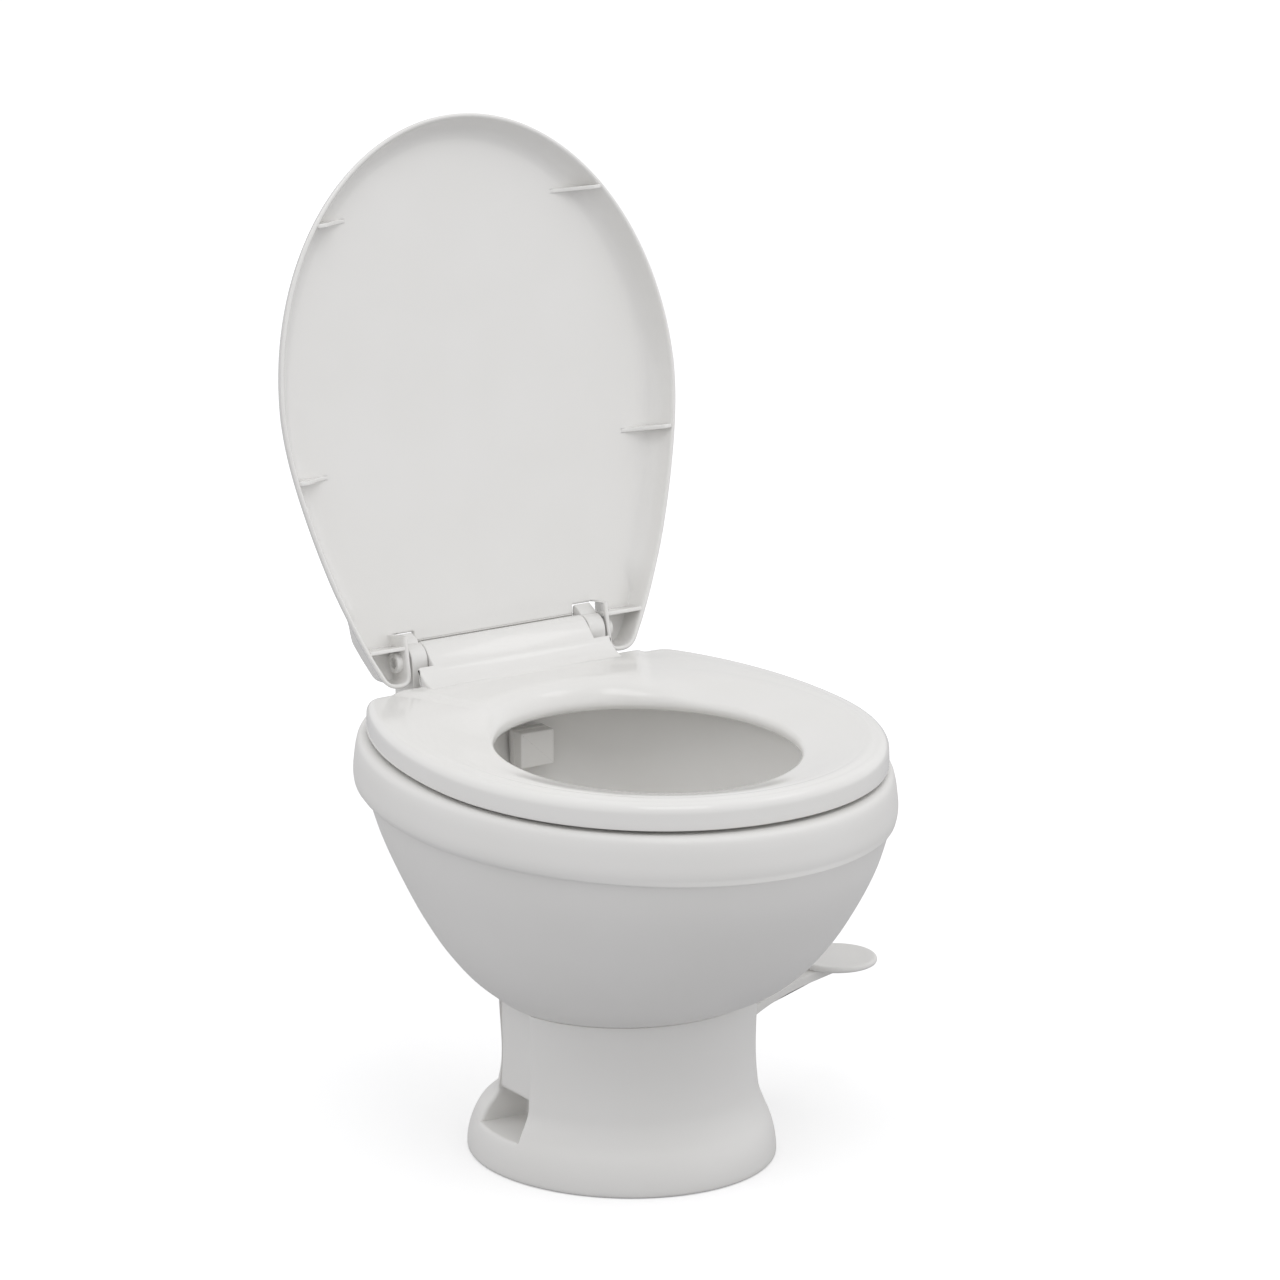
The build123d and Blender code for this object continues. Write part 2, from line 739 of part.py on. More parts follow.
# Sector gear on the pedal pin
with BuildPart() as sector_gear:
    with BuildSketch(Plane.XZ.offset(gear_front)):
        with Locations((pin_x, ball_z)):
            Circle(sector_r - tooth_in)
            first = half_turn - teeth_before * sector_pitch - sector_pitch / 2
            last = first + sector_tooth_count * sector_pitch
            far = 2 * sector_r
            Polygon(
                (0, 0),
                (far * cos(radians(first)), far * sin(radians(first))),
                (-far, 0),
                (far * cos(radians(last)), far * sin(radians(last))),
                align=None,
                mode=Mode.INTERSECT,
            )
            with PolarLocations(
                sector_r,
                sector_tooth_count,
                start_angle=first + sector_pitch / 2,
                angular_range=(sector_tooth_count - 1) * sector_pitch,
                endpoint=True,
            ):
                Polygon(*tooth_points, align=None)
            Circle(gear_hub_r)
            Circle(pin_r, mode=Mode.SUBTRACT)
    extrude(amount=gear_t)
sector_gear.part.label = "sector_gear"
export_step(sector_gear.part, "parts/sector_gear.step")

# Pedal pin, which turns with the pedal
pin_rear = lever_near + lever_t + clip_t
with BuildPart() as pedal_pin:
    with BuildSketch(Plane.XZ.offset(-pin_rear)):
        with Locations((pin_x, ball_z)):
            Circle(pin_r)
    extrude(amount=pin_rear + pin_front)
pedal_pin.part.label = "pedal_pin"
export_step(pedal_pin.part, "parts/pedal_pin.step")

# Clips on the pin outside the two lugs
with BuildPart() as pin_clips:
    for face, depth in ((lug_front_far + rest_gap, clip_t), (-lug_rear_far - rest_gap, -clip_t)):
        with BuildSketch(Plane.XZ.offset(face)):
            with Locations((pin_x, ball_z)):
                Circle(clip_r)
                Circle(pin_r, mode=Mode.SUBTRACT)
        extrude(amount=depth)
pin_clips.part.label = "pin_clips"
export_step(pin_clips.part, "parts/pin_clips.step")

# Cartridge of the return spring, fixed to the front lug
with BuildPart() as spring_cartridge:
    with BuildSketch(Plane.XZ.offset(lug_front_near)):
        with Locations((pin_x, ball_z)):
            Circle(spring_out)
            Circle(spring_in, mode=Mode.SUBTRACT)
    extrude(amount=-spring_len)
spring_cartridge.part.label = "spring_cartridge"
export_step(spring_cartridge.part, "parts/spring_cartridge.step")

# Pedal: the hub, the cranked arm and the rounded pad with its ribs
with BuildPart() as pedal:
    with BuildSketch(Plane.XZ.offset(-hub_half)):
        with Locations((pin_x, ball_z)):
            Circle(hub_r)
        with BuildLine():
            Polyline(
                (pin_x, ball_z - arm_half_z),
                (arm_knee_x, arm_knee_z - arm_half_z),
                (arm_end_x, arm_end_z),
                (pad_x, pad_z - pad_t),
                (pad_x - pad_half_x + 2 * pad_round, pad_z - pad_t),
                (arm_knee_x, arm_knee_z + arm_half_z),
                (pin_x, ball_z + arm_half_z),
                close=True,
            )
        make_face()
    extrude(amount=2 * hub_half)
    with BuildSketch(Plane.XY.offset(pad_z - pad_t)):
        with Locations((pad_x, 0)):
            Ellipse(pad_half_x, pad_half_y)
    extrude(amount=pad_t)
    fillet(pedal.edges().filter_by(GeomType.ELLIPSE).group_by(Axis.Z)[-1], pad_round)
    # hollow underside of the arm, between its two side ribs
    with BuildSketch(Plane.XZ.offset(-(hub_half - pad_rib_t))):
        with BuildLine():
            Polyline(
                (pin_x + hub_r + pad_rib_t, ball_z - overrun),
                (arm_knee_x, arm_knee_z - arm_half_z - overrun),
                (arm_end_x + overrun, arm_end_z - overrun),
                (arm_end_x - pad_rib_t, pad_z - pad_t - pad_rib_t),
                (arm_knee_x, arm_knee_z + arm_half_z - pad_rib_t),
                (pin_x + hub_r + pad_rib_t, ball_z + arm_half_z - pad_rib_t / 2),
                close=True,
            )
        make_face()
    extrude(amount=2 * (hub_half - pad_rib_t), mode=Mode.SUBTRACT)
    with BuildSketch(Plane.XZ.offset(-hub_half - overrun)):
        with Locations((pin_x, ball_z)):
            Circle(pin_r)
    extrude(amount=2 * (hub_half + overrun), mode=Mode.SUBTRACT)
pedal.part.label = "pedal"
export_step(pedal.part, "parts/pedal.step")

# Lever on the rear end of the pin, with the finger that lifts the valve stem
water_x = pin_x - lever_reach
with BuildPart() as stem_lever:
    with BuildSketch(Plane.XZ.offset(-lever_near)):
        with Locations((pin_x, ball_z)):
            Circle(lever_hub_r)
        with Locations((pin_x - lever_reach / 2, ball_z)):
            Rectangle(lever_reach, lever_bar)
        with Locations((water_x, ball_z)):
            Circle(finger_r)
        with Locations((pin_x, ball_z)):
            Circle(pin_r, mode=Mode.SUBTRACT)
    extrude(amount=-lever_t)
stem_lever.part.label = "stem_lever"
export_step(stem_lever.part, "parts/stem_lever.step")

# Valve stem with the fork that the finger works in
fork_slot = finger_r + fork_gap
with BuildPart() as valve_stem:
    with BuildSketch(Plane.XY.offset(ball_z + fork_slot + fork_jaw)):
        with Locations((water_x, water_y)):
            Circle(stem_r)
    extrude(amount=port_z - ball_z - fork_slot - fork_jaw)
    with BuildSketch(Plane.XZ.offset(-water_y - fork_half + clip_t)):
        with BuildLine():
            left = water_x - fork_half
            right = water_x + fork_jaw
            low_right = water_x + fork_jaw_out
            web = left + 2 * clip_t
            Polyline(
                (left, ball_z - fork_slot - fork_jaw),
                (low_right, ball_z - fork_slot - fork_jaw),
                (low_right, ball_z - fork_slot),
                (web, ball_z - fork_slot),
                (web, ball_z + fork_slot),
                (right, ball_z + fork_slot),
                (right, ball_z + fork_slot + fork_jaw),
                (left, ball_z + fork_slot + fork_jaw),
                close=True,
            )
        make_face()
    extrude(amount=2 * (fork_half - clip_t))
valve_stem.part.label = "valve_stem"
export_step(valve_stem.part, "parts/valve_stem.step")

# Water valve body under the deck
with BuildPart() as water_valve_body:
    with BuildSketch(Plane.XY.offset(water_base)):
        with Locations((water_x, water_y)):
            Circle(water_r)
    extrude(amount=deck_z - water_base)
    with BuildSketch(Plane.XZ.offset(-water_y)):
        with Locations((water_x, port_z)):
            Circle(port_r)
    extrude(amount=-(port_y - water_y))
    with BuildSketch(Plane.XY.offset(water_base)):
        with Locations((water_x, water_y)):
            Circle(stem_r + run_fit)
    extrude(amount=stem_bore_top - water_base, mode=Mode.SUBTRACT)
    with BuildSketch(Plane.XY.offset(water_base)):
        with Locations((water_x, water_y)):
            Circle(stem_seal_r)
    extrude(amount=stem_seal_t, mode=Mode.SUBTRACT)
water_valve_body.part.label = "water_valve_body"
export_step(water_valve_body.part, "parts/water_valve_body.step")

# Seal ring of the stem
with BuildPart() as stem_seal:
    with BuildSketch(Plane.XY.offset(water_base)):
        with Locations((water_x, water_y)):
            Circle(stem_seal_r)
            Circle(stem_r + run_fit, mode=Mode.SUBTRACT)
    extrude(amount=stem_seal_t)
stem_seal.part.label = "stem_seal"
export_step(stem_seal.part, "parts/stem_seal.step")

# Inlet fitting through the rear wall
with BuildPart() as inlet_fitting:
    with BuildSketch(Plane.XZ.offset(-port_y)):
        with Locations((water_x, port_z)):
            Circle(inlet_neck_r)
    extrude(amount=-(inlet_end - port_y))
    with BuildSketch(Plane.XZ.offset(-(inlet_end - inlet_thread))):
        with Locations((water_x, port_z)):
            Circle(inlet_r)
    extrude(amount=-inlet_thread)
    with BuildSketch(Plane.XZ.offset(-inlet_bore_from)):
        with Locations((water_x, port_z)):
            Circle(inlet_bore)
    extrude(amount=-(inlet_end - inlet_bore_from + overrun), mode=Mode.SUBTRACT)
inlet_fitting.part.label = "inlet_fitting"
export_step(inlet_fitting.part, "parts/inlet_fitting.step")

# Rinse hose from the water valve up to the vacuum breaker
with BuildPart() as rinse_hose:
    with BuildLine() as hose_path:
        FilletPolyline(
            (water_x, water_y, deck_z),
            (water_x, water_y, joint_z + hose_rise),
            (hose_side_x, hose_side_y, hose_side_z),
            (hose_back_x, hose_back_y, hose_back_z),
            (0, breaker_y, breaker_low - hose_foot_drop),
            (0, breaker_y, breaker_low),
            radius=(hose_bend_small, hose_bend_large, hose_bend_large, hose_bend_small),
        )
    with BuildSketch(Plane.XY.offset(deck_z)):
        with Locations((water_x, water_y)):
            Circle(hose_r)
    sweep(path=hose_path.line)
rinse_hose.part.label = "rinse_hose"
export_step(rinse_hose.part, "parts/rinse_hose.step")

# Vacuum breaker body behind the basin
with BuildPart() as vacuum_breaker_body:
    with BuildSketch(Plane.XY.offset(breaker_low)):
        with Locations((0, breaker_y)):
            Circle(breaker_r)
    extrude(amount=breaker_top - breaker_low)
    with BuildSketch(Plane.XZ.offset(-breaker_port_y)):
        with Locations((0, nozzle_z)):
            Circle(port_r)
    extrude(amount=-(breaker_y - breaker_port_y))
    with BuildSketch(Plane.XY.offset(breaker_seat)):
        with Locations((0, breaker_y)):
            Circle(breaker_bore)
    extrude(amount=breaker_top - breaker_seat, mode=Mode.SUBTRACT)
    with BuildSketch(Plane.XY.offset(breaker_low + hose_r)):
        with Locations((0, breaker_y)):
            Circle(hose_r - clip_t)
    extrude(amount=breaker_seat - breaker_low, mode=Mode.SUBTRACT)
vacuum_breaker_body.part.label = "vacuum_breaker_body"
export_step(vacuum_breaker_body.part, "parts/vacuum_breaker_body.step")

# Cap of the vacuum breaker, with its air holes, under the rim plate
with BuildPart() as vacuum_breaker_cap:
    with BuildSketch(Plane.XY.offset(breaker_top)):
        with Locations((0, breaker_y)):
            Circle(breaker_cap_r)
    extrude(amount=top_plate_z - breaker_top)
    with BuildSketch(Plane.XY.offset(breaker_top)):
        with Locations((0, breaker_y)):
            with PolarLocations(vent_reach, vent_count):
                Circle(vent_r)
    extrude(amount=vent_depth, mode=Mode.SUBTRACT)
vacuum_breaker_cap.part.label = "vacuum_breaker_cap"
export_step(vacuum_breaker_cap.part, "parts/vacuum_breaker_cap.step")

# Float disc of the vacuum breaker, resting on its seat
with BuildPart() as breaker_float:
    with BuildSketch(Plane.XY.offset(breaker_seat)):
        with Locations((0, breaker_y)):
            Circle(float_r)
    extrude(amount=float_t)
breaker_float.part.label = "breaker_float"
export_step(breaker_float.part, "parts/breaker_float.step")

# Rinse nozzle at the rear of the basin
with BuildPart() as rinse_nozzle:
    with BuildSketch(Plane.XZ.offset(-nozzle_front)):
        with Locations((0, nozzle_z)):
            RectangleRounded(2 * nozzle_half, 2 * nozzle_half_z, nozzle_round)
    extrude(amount=-(nozzle_back - nozzle_front))
    fillet(rinse_nozzle.faces().sort_by(Axis.Y)[0].edges(), nozzle_round / 2)
    with BuildSketch(Plane.XZ.offset(-nozzle_back)):
        with Locations((0, nozzle_z)):
            Circle(collar_r)
    extrude(amount=-(collar_y - nozzle_back))
    with BuildSketch(Plane.XZ.offset(-collar_y)):
        with Locations((0, nozzle_z)):
            Circle(shank_r)
    extrude(amount=-(breaker_port_y - collar_y))
    # spray slot in the underside
    with BuildSketch(Plane.XY.offset(nozzle_z - nozzle_half_z)):
        with Locations((0, (nozzle_front + nozzle_back) / 2)):
            Rectangle(2 * (nozzle_half - nozzle_round), nozzle_slot_z)
    extrude(amount=nozzle_slot_depth, mode=Mode.SUBTRACT)
rinse_nozzle.part.label = "rinse_nozzle"
export_step(rinse_nozzle.part, "parts/rinse_nozzle.step")

# Nut of the nozzle behind the basin wall
with BuildPart() as nozzle_nut:
    with BuildSketch(Plane.XZ.offset(-nut_y)):
        with Locations((0, nozzle_z)):
            RegularPolygon(nut_r, 6)
            Circle(shank_r, mode=Mode.SUBTRACT)
    extrude(amount=-nut_t)
nozzle_nut.part.label = "nozzle_nut"
export_step(nozzle_nut.part, "parts/nozzle_nut.step")

# Seat: the ring, hollow underneath, with its ramp and hinge barrel
with BuildPart() as seat:
    with BuildSketch(Plane.XY.offset(seat_base)) as seat_outline:
        add(oval(seat_half, seat_front, seat_rear, seat_y))
        with Locations((0, seat_back_y + seat_rear / 2)):
            Rectangle(2 * seat_half, seat_rear, mode=Mode.SUBTRACT)
        fillet(seat_outline.vertices().group_by(Axis.Y)[-1], seat_corner)
    extrude(amount=seat_top - seat_base)
    fillet(seat.faces().sort_by(Axis.Z)[-1].edges(), seat_round)
    with BuildSketch(Plane.XY.offset(seat_base)):
        with Locations((0, hole_y)):
            Ellipse(hole_half, hole_len)
    extrude(amount=seat_top - seat_base, mode=Mode.SUBTRACT)
    hole_edges = seat.edges().filter_by(GeomType.ELLIPSE).group_by(Axis.Z)[-1]
    fillet(hole_edges.sort_by(SortBy.LENGTH)[-1], hole_round)
    # hollow underside
    with BuildSketch(Plane.XY.offset(seat_base)) as seat_under:
        add(oval(seat_half - seat_round, seat_front - seat_round, seat_rear - seat_round, seat_y))
        with Locations((0, seat_back_y - seat_round + seat_rear / 2)):
            Rectangle(2 * seat_half, seat_rear, mode=Mode.SUBTRACT)
        fillet(seat_under.vertices().group_by(Axis.Y)[-1], seat_corner - seat_round)
        with Locations((0, hole_y)):
            Ellipse(hole_half + seat_round, hole_len + seat_round, mode=Mode.SUBTRACT)
    extrude(amount=seat_recess_top - seat_base, mode=Mode.SUBTRACT)
    # ramp and barrel
    with BuildSketch(Plane.YZ.offset(-barrel_half)):
        with BuildLine():
            reach = axis_y - ramp_crest_y
            touch = half_turn - degrees(asin(sqrt(reach**2 - barrel_r**2) / reach))
            crest = (ramp_crest_y, axis_z)
            top_touch = (axis_y + barrel_r * cos(radians(touch)), axis_z + barrel_r * sin(radians(touch)))
            low = (axis_y, axis_z - barrel_r)
            ThreePointArc((ramp_foot_y, seat_top), (ramp_mid_y, seat_top + ramp_mid_rise), crest)
            Line(crest, top_touch)
            ThreePointArc(top_touch, (axis_y + barrel_r, axis_z), low)
            Polyline(
                low,
                (seat_back_y + seat_skin, seat_base + seat_round),
                (seat_back_y - seat_skin, seat_base),
                (seat_back_y - seat_round - seat_skin, seat_base),
                (seat_back_y - seat_round - seat_skin, seat_recess_top),
                (ramp_foot_y, seat_recess_top),
                (ramp_foot_y, seat_top),
            )
        make_face()
    extrude(amount=2 * barrel_half)
    # blind bores of the hinge pins
    for side in (1, -1):
        with BuildSketch(Plane.YZ.offset(side * (barrel_half - hinge_pin_depth))):
            with Locations((axis_y, axis_z)):
                Circle(hinge_pin_r)
        extrude(amount=side * (hinge_pin_depth + overrun), mode=Mode.SUBTRACT)
seat.part.label = "seat"
export_step(seat.part, "parts/seat.step")

# Bumpers under the seat
bumper_spots = [
    (
        side * (seat_half - bumper_in) * sin(radians(angle)),
        seat_y - (seat_front - bumper_in) * cos(radians(angle)),
    )
    for side in (1, -1)
    for angle in bumper_angles
]
with BuildPart() as seat_bumpers:
    with BuildSketch(Plane.XY.offset(rim_top + rest_gap)):
        with Locations(*bumper_spots):
            Circle(bumper_r)
    extrude(amount=seat_recess_top - rim_top - rest_gap)
seat_bumpers.part.label = "seat_bumpers"
export_step(seat_bumpers.part, "parts/seat_bumpers.step")

# Hinge posts on the rim, with rounded heads about the hinge axis
for name, side in (("hinge_post_left", -1), ("hinge_post_right", 1)):
    with BuildPart() as hinge_post:
        with BuildSketch(Plane.YZ.offset(side * post_x - post_half_t)):
            with BuildLine():
                Polyline(
                    (axis_y - post_half_y, rim_top),
                    (axis_y + post_half_y, rim_top),
                    (axis_y + barrel_r, axis_z),
                    (axis_y + shoulder_back, axis_z + shoulder_low),
                    (axis_y + shoulder_mid, axis_z + shoulder_top),
                    (axis_y, axis_z + barrel_r),
                    (axis_y - barrel_r, axis_z),
                    close=True,
                )
            make_face()
            with Locations((axis_y, axis_z)):
                Circle(barrel_r)
                Circle(hinge_pin_r + run_fit, mode=Mode.SUBTRACT)
        extrude(amount=2 * post_half_t)
        with BuildSketch(Plane.XY.offset(rim_top)):
            with Locations((side * post_x, axis_y)):
                Circle(stud_r)
        extrude(amount=stud_grip, mode=Mode.SUBTRACT)
    hinge_post.part.label = name
    export_step(hinge_post.part, f"parts/{name}.step")

# Hinge pins, one on each side, through ear, post and barrel
pin_in = barrel_half - hinge_pin_depth + part_gap
pin_out = ear_x + ear_boss_out
with BuildPart() as hinge_pins:
    for side in (1, -1):
        with BuildSketch(Plane.YZ.offset(side * pin_in)):
            with Locations((axis_y, axis_z)):
                Circle(hinge_pin_r)
        extrude(amount=side * (pin_out - pin_in))
hinge_pins.part.label = "hinge_pins"
export_step(hinge_pins.part, "parts/hinge_pins.step")

# Studs, washers and nuts that hold the posts down
stud_spots = ((post_x, axis_y), (-post_x, axis_y))
with BuildPart() as hinge_studs:
    with BuildSketch(Plane.XY.offset(top_plate_z - stud_tail)):
        with Locations(*stud_spots):
            Circle(stud_r)
    extrude(amount=stud_tail + rim_plate + stud_grip)
hinge_studs.part.label = "hinge_studs"
export_step(hinge_studs.part, "parts/hinge_studs.step")

with BuildPart() as hinge_washers:
    with BuildSketch(Plane.XY.offset(top_plate_z - washer_t)):
        with Locations(*stud_spots):
            Circle(washer_r)
            Circle(stud_r, mode=Mode.SUBTRACT)
    extrude(amount=washer_t)
hinge_washers.part.label = "hinge_washers"
export_step(hinge_washers.part, "parts/hinge_washers.step")

with BuildPart() as hinge_nuts:
    with BuildSketch(Plane.XY.offset(top_plate_z - washer_t - hinge_nut_t)):
        with Locations(*stud_spots):
            RegularPolygon(hinge_nut_r, 6)
            Circle(stud_r, mode=Mode.SUBTRACT)
    extrude(amount=hinge_nut_t)
hinge_nuts.part.label = "hinge_nuts"
export_step(hinge_nuts.part, "parts/hinge_nuts.step")

# Lid: a shallow dish that leans back open, with two hinge ears and four fins
open_turn = radians(lid_open_angle)
lid_plane = Plane(
    origin=(0, axis_y, axis_z),
    x_dir=(1, 0, 0),
    z_dir=(0, -sin(open_turn), -cos(open_turn)),
)
lid_side_plane = Plane(
    origin=(0, axis_y, axis_z),
    x_dir=(0, -cos(open_turn), sin(open_turn)),
    z_dir=(1, 0, 0),
)


def lid_outline(inset):
    """The lid's outline drawn in by inset, level below the hinge axis, with round corners."""
    with BuildSketch() as outline:
        add(oval(lid_half - inset, lid_low_len - inset, lid_tip_v - lid_mid_v - inset, lid_mid_v))
        with Locations((0, inset - lid_low_v - lid_low_len / 2)):
            Rectangle(2 * lid_half, lid_low_len, mode=Mode.SUBTRACT)
        fillet(outline.vertices().group_by(Axis.Y)[0], lid_corner - inset)
    return outline.sketch


with BuildPart() as lid:
    with BuildSketch(lid_plane.offset(-lid_back_w)):
        add(lid_outline(0))
        # gap between the ears for the posts and the barrel
        with Locations((0, (notch_v - lid_low_v - overrun) / 2)):
            Rectangle(2 * ear_x + ear_t, notch_v + lid_low_v + overrun, mode=Mode.SUBTRACT)
    extrude(amount=lid_back_w + lid_lip_w)
    back_face = lid.faces().sort_by(Axis(lid_plane.origin, lid_plane.z_dir))[0]
    fillet(back_face.edges().filter_by(GeomType.ELLIPSE), lid_round)
    with BuildSketch(lid_plane.offset(lid_panel - lid_back_w)):
        add(lid_outline(lid_wall))
    extrude(amount=lid_back_w - lid_panel + lid_lip_w, mode=Mode.SUBTRACT)
    # inner plates of the ears, and a boss about the axis in each
    for side in (1, -1):
        with BuildSketch(lid_side_plane.offset(side * ear_x)):
            with Locations(((notch_v + ledge_t - lid_low_v) / 2, (lid_lip_w - lid_back_w) / 2)):
                Rectangle(notch_v + ledge_t + lid_low_v, lid_back_w + lid_lip_w - 2 * part_gap)
        extrude(amount=side * ear_t)
        with BuildSketch(lid_side_plane.offset(side * ear_x)):
            Circle(ear_boss_r)
        extrude(amount=side * ear_boss_out)
        with BuildSketch(lid_side_plane.offset(side * (ear_x - overrun))):
            Circle(hinge_pin_r + run_fit)
        extrude(amount=side * (ear_boss_out + 2 * overrun), mode=Mode.SUBTRACT)
        # ledge over the pocket of the ear
        with BuildSketch(lid_side_plane.offset(side * ear_x)):
            with Locations((notch_v + ledge_t / 2, (lid_lip_w - lid_back_w) / 2)):
                Rectangle(ledge_t, lid_back_w + lid_lip_w - 2 * part_gap)
        extrude(amount=side * (ledge_end_u - ear_x))
    # fins that meet the seat when the lid is closed
    for v, u in ((fin_low_v, fin_low_u), (fin_high_v, fin_high_u)):
        with BuildSketch(Plane(
            origin=lid_plane.from_local_coords((0, v - fin_t / 2, 0)),
            x_dir=(1, 0, 0),
            z_dir=lid_plane.y_dir,
        )):
            for side in (1, -1):
                with BuildLine():
                    Polyline(
                        (side * u, lid_back_w - lid_panel / 2),
                        (side * (u - fin_reach), lid_back_w - lid_panel / 2),
                        (side * (u - 2 * fin_t), -lid_gap_w),
                        (side * u, -lid_gap_w),
                        close=True,
                    )
                make_face()
        extrude(amount=fin_t)
lid.part.label = "lid"
export_step(lid.part, "parts/lid.step")

# Flap on the lid's lower edge, which closes the gap behind the barrel
with BuildPart() as lid_flap:
    with BuildSketch(lid_side_plane.offset(-flap_half)):
        with BuildLine():
            face_v = sqrt(flap_r**2 - (lid_back_w - lid_panel) ** 2)
            back_v = sqrt((flap_r + flap_t) ** 2 - lid_back_w**2)
            face_angle = degrees(asin((lid_back_w - lid_panel) / flap_r))
            back_angle = degrees(asin(lid_back_w / (flap_r + flap_t)))
            face_mid = radians((face_angle + flap_end_angle) / 2)
            back_mid = radians((back_angle + flap_end_angle) / 2)
            end = radians(flap_end_angle)
            out = flap_r + flap_t
            ThreePointArc(
                (face_v, lid_panel - lid_back_w),
                (flap_r * cos(face_mid), -flap_r * sin(face_mid)),
                (flap_r * cos(end), -flap_r * sin(end)),
            )
            Line((flap_r * cos(end), -flap_r * sin(end)), (out * cos(end), -out * sin(end)))
            ThreePointArc(
                (out * cos(end), -out * sin(end)),
                (out * cos(back_mid), -out * sin(back_mid)),
                (back_v, -lid_back_w),
            )
            Polyline(
                (back_v, -lid_back_w),
                (notch_v, -lid_back_w),
                (notch_v, lid_panel - lid_back_w),
                (face_v, lid_panel - lid_back_w),
            )
        make_face()
    extrude(amount=2 * flap_half)
lid_flap.part.label = "lid_flap"
export_step(lid_flap.part, "parts/lid_flap.step")
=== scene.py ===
import json
import math

import bmesh
import bpy
import numpy as np
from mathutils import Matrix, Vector


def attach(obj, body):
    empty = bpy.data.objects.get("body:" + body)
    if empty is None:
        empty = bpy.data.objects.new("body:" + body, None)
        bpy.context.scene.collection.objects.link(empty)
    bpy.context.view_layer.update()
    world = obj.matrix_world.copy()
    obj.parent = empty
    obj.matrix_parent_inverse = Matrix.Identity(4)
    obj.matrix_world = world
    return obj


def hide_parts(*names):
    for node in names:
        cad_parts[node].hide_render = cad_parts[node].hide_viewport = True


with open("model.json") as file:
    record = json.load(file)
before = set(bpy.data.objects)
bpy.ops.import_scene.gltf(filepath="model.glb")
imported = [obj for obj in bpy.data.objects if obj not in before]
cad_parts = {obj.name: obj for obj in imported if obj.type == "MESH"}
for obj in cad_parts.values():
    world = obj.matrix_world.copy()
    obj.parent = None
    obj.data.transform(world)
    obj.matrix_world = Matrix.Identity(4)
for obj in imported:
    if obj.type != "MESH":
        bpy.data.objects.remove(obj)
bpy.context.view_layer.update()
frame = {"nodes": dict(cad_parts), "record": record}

# Pedestal: the hollow foot and neck that stand on the floor, one moulding of
# white polypropylene. A sunk channel on each side gives room for the floor
# bolts, and the pedal's arm comes out through a slot in the right one.


def linear(hex_colour):
    """Turns an sRGB hex colour into linear red, green, blue and alpha: a dark level over 12.92, any
    other plus 0.055 over 1.055 to the power 2.4."""
    levels = [int(hex_colour[i:i + 2], 16) / 255 for i in (1, 3, 5)]
    return tuple(v / 12.92 if v <= 0.04045 else ((v + 0.055) / 1.055) ** 2.4 for v in levels) + (1.0,)


def add_node(tree, kind, links=(), **settings):
    """Adds a node, sets its sockets and properties by name, and links its inputs."""
    node = tree.nodes.new(kind)
    for name, value in settings.items():
        label = name.replace("_", " ")
        if label in node.inputs:
            node.inputs[label].default_value = value
        else:
            setattr(node, name, value)
    for target, source in links:
        tree.links.new(source, node.inputs[target])
    return node


def moulded(name, colour, shade, roughness, spread, grain_mm, grain_depth, wave_mm, wave_depth,
            metallic=0.0):
    """A moulded or turned surface: a slow drift of tint, a fine grain and the mould's long waves.
    The grain swings the roughness by spread; lengths and depths are in mm."""
    material = bpy.data.materials.new(name)
    material.use_nodes = True
    tree = material.node_tree
    surface = tree.nodes["Principled BSDF"]
    surface.inputs["Metallic"].default_value = metallic
    if not metallic:
        surface.inputs["IOR"].default_value = 1.49
    place = add_node(tree, "ShaderNodeTexCoord")
    grain = add_node(tree, "ShaderNodeTexNoise", [("Vector", place.outputs["Object"])],
                     Scale=1000 / grain_mm, Detail=3.0)
    wave = add_node(tree, "ShaderNodeTexNoise", [("Vector", place.outputs["Object"])],
                    Scale=1000 / wave_mm, Detail=1.0)
    # the mix node's two colours are its inputs 6 and 7, and the mixed colour its output 2
    tint = add_node(tree, "ShaderNodeMix", [(0, wave.outputs["Fac"])], data_type="RGBA")
    tint.inputs[6].default_value = linear(shade)
    tint.inputs[7].default_value = linear(colour)
    gloss = add_node(tree, "ShaderNodeMapRange", [("Value", grain.outputs["Fac"])],
                     To_Min=roughness - spread, To_Max=roughness + spread)
    swell = add_node(tree, "ShaderNodeBump", [("Height", wave.outputs["Fac"])],
                     Strength=1.0, Distance=wave_depth / 1000)
    relief = add_node(tree, "ShaderNodeBump",
                      [("Height", grain.outputs["Fac"]), ("Normal", swell.outputs["Normal"])],
                      Strength=1.0, Distance=grain_depth / 1000)
    tree.links.new(tint.outputs[2], surface.inputs["Base Color"])
    tree.links.new(gloss.outputs["Result"], surface.inputs["Roughness"])
    tree.links.new(relief.outputs["Normal"], surface.inputs["Normal"])
    return material


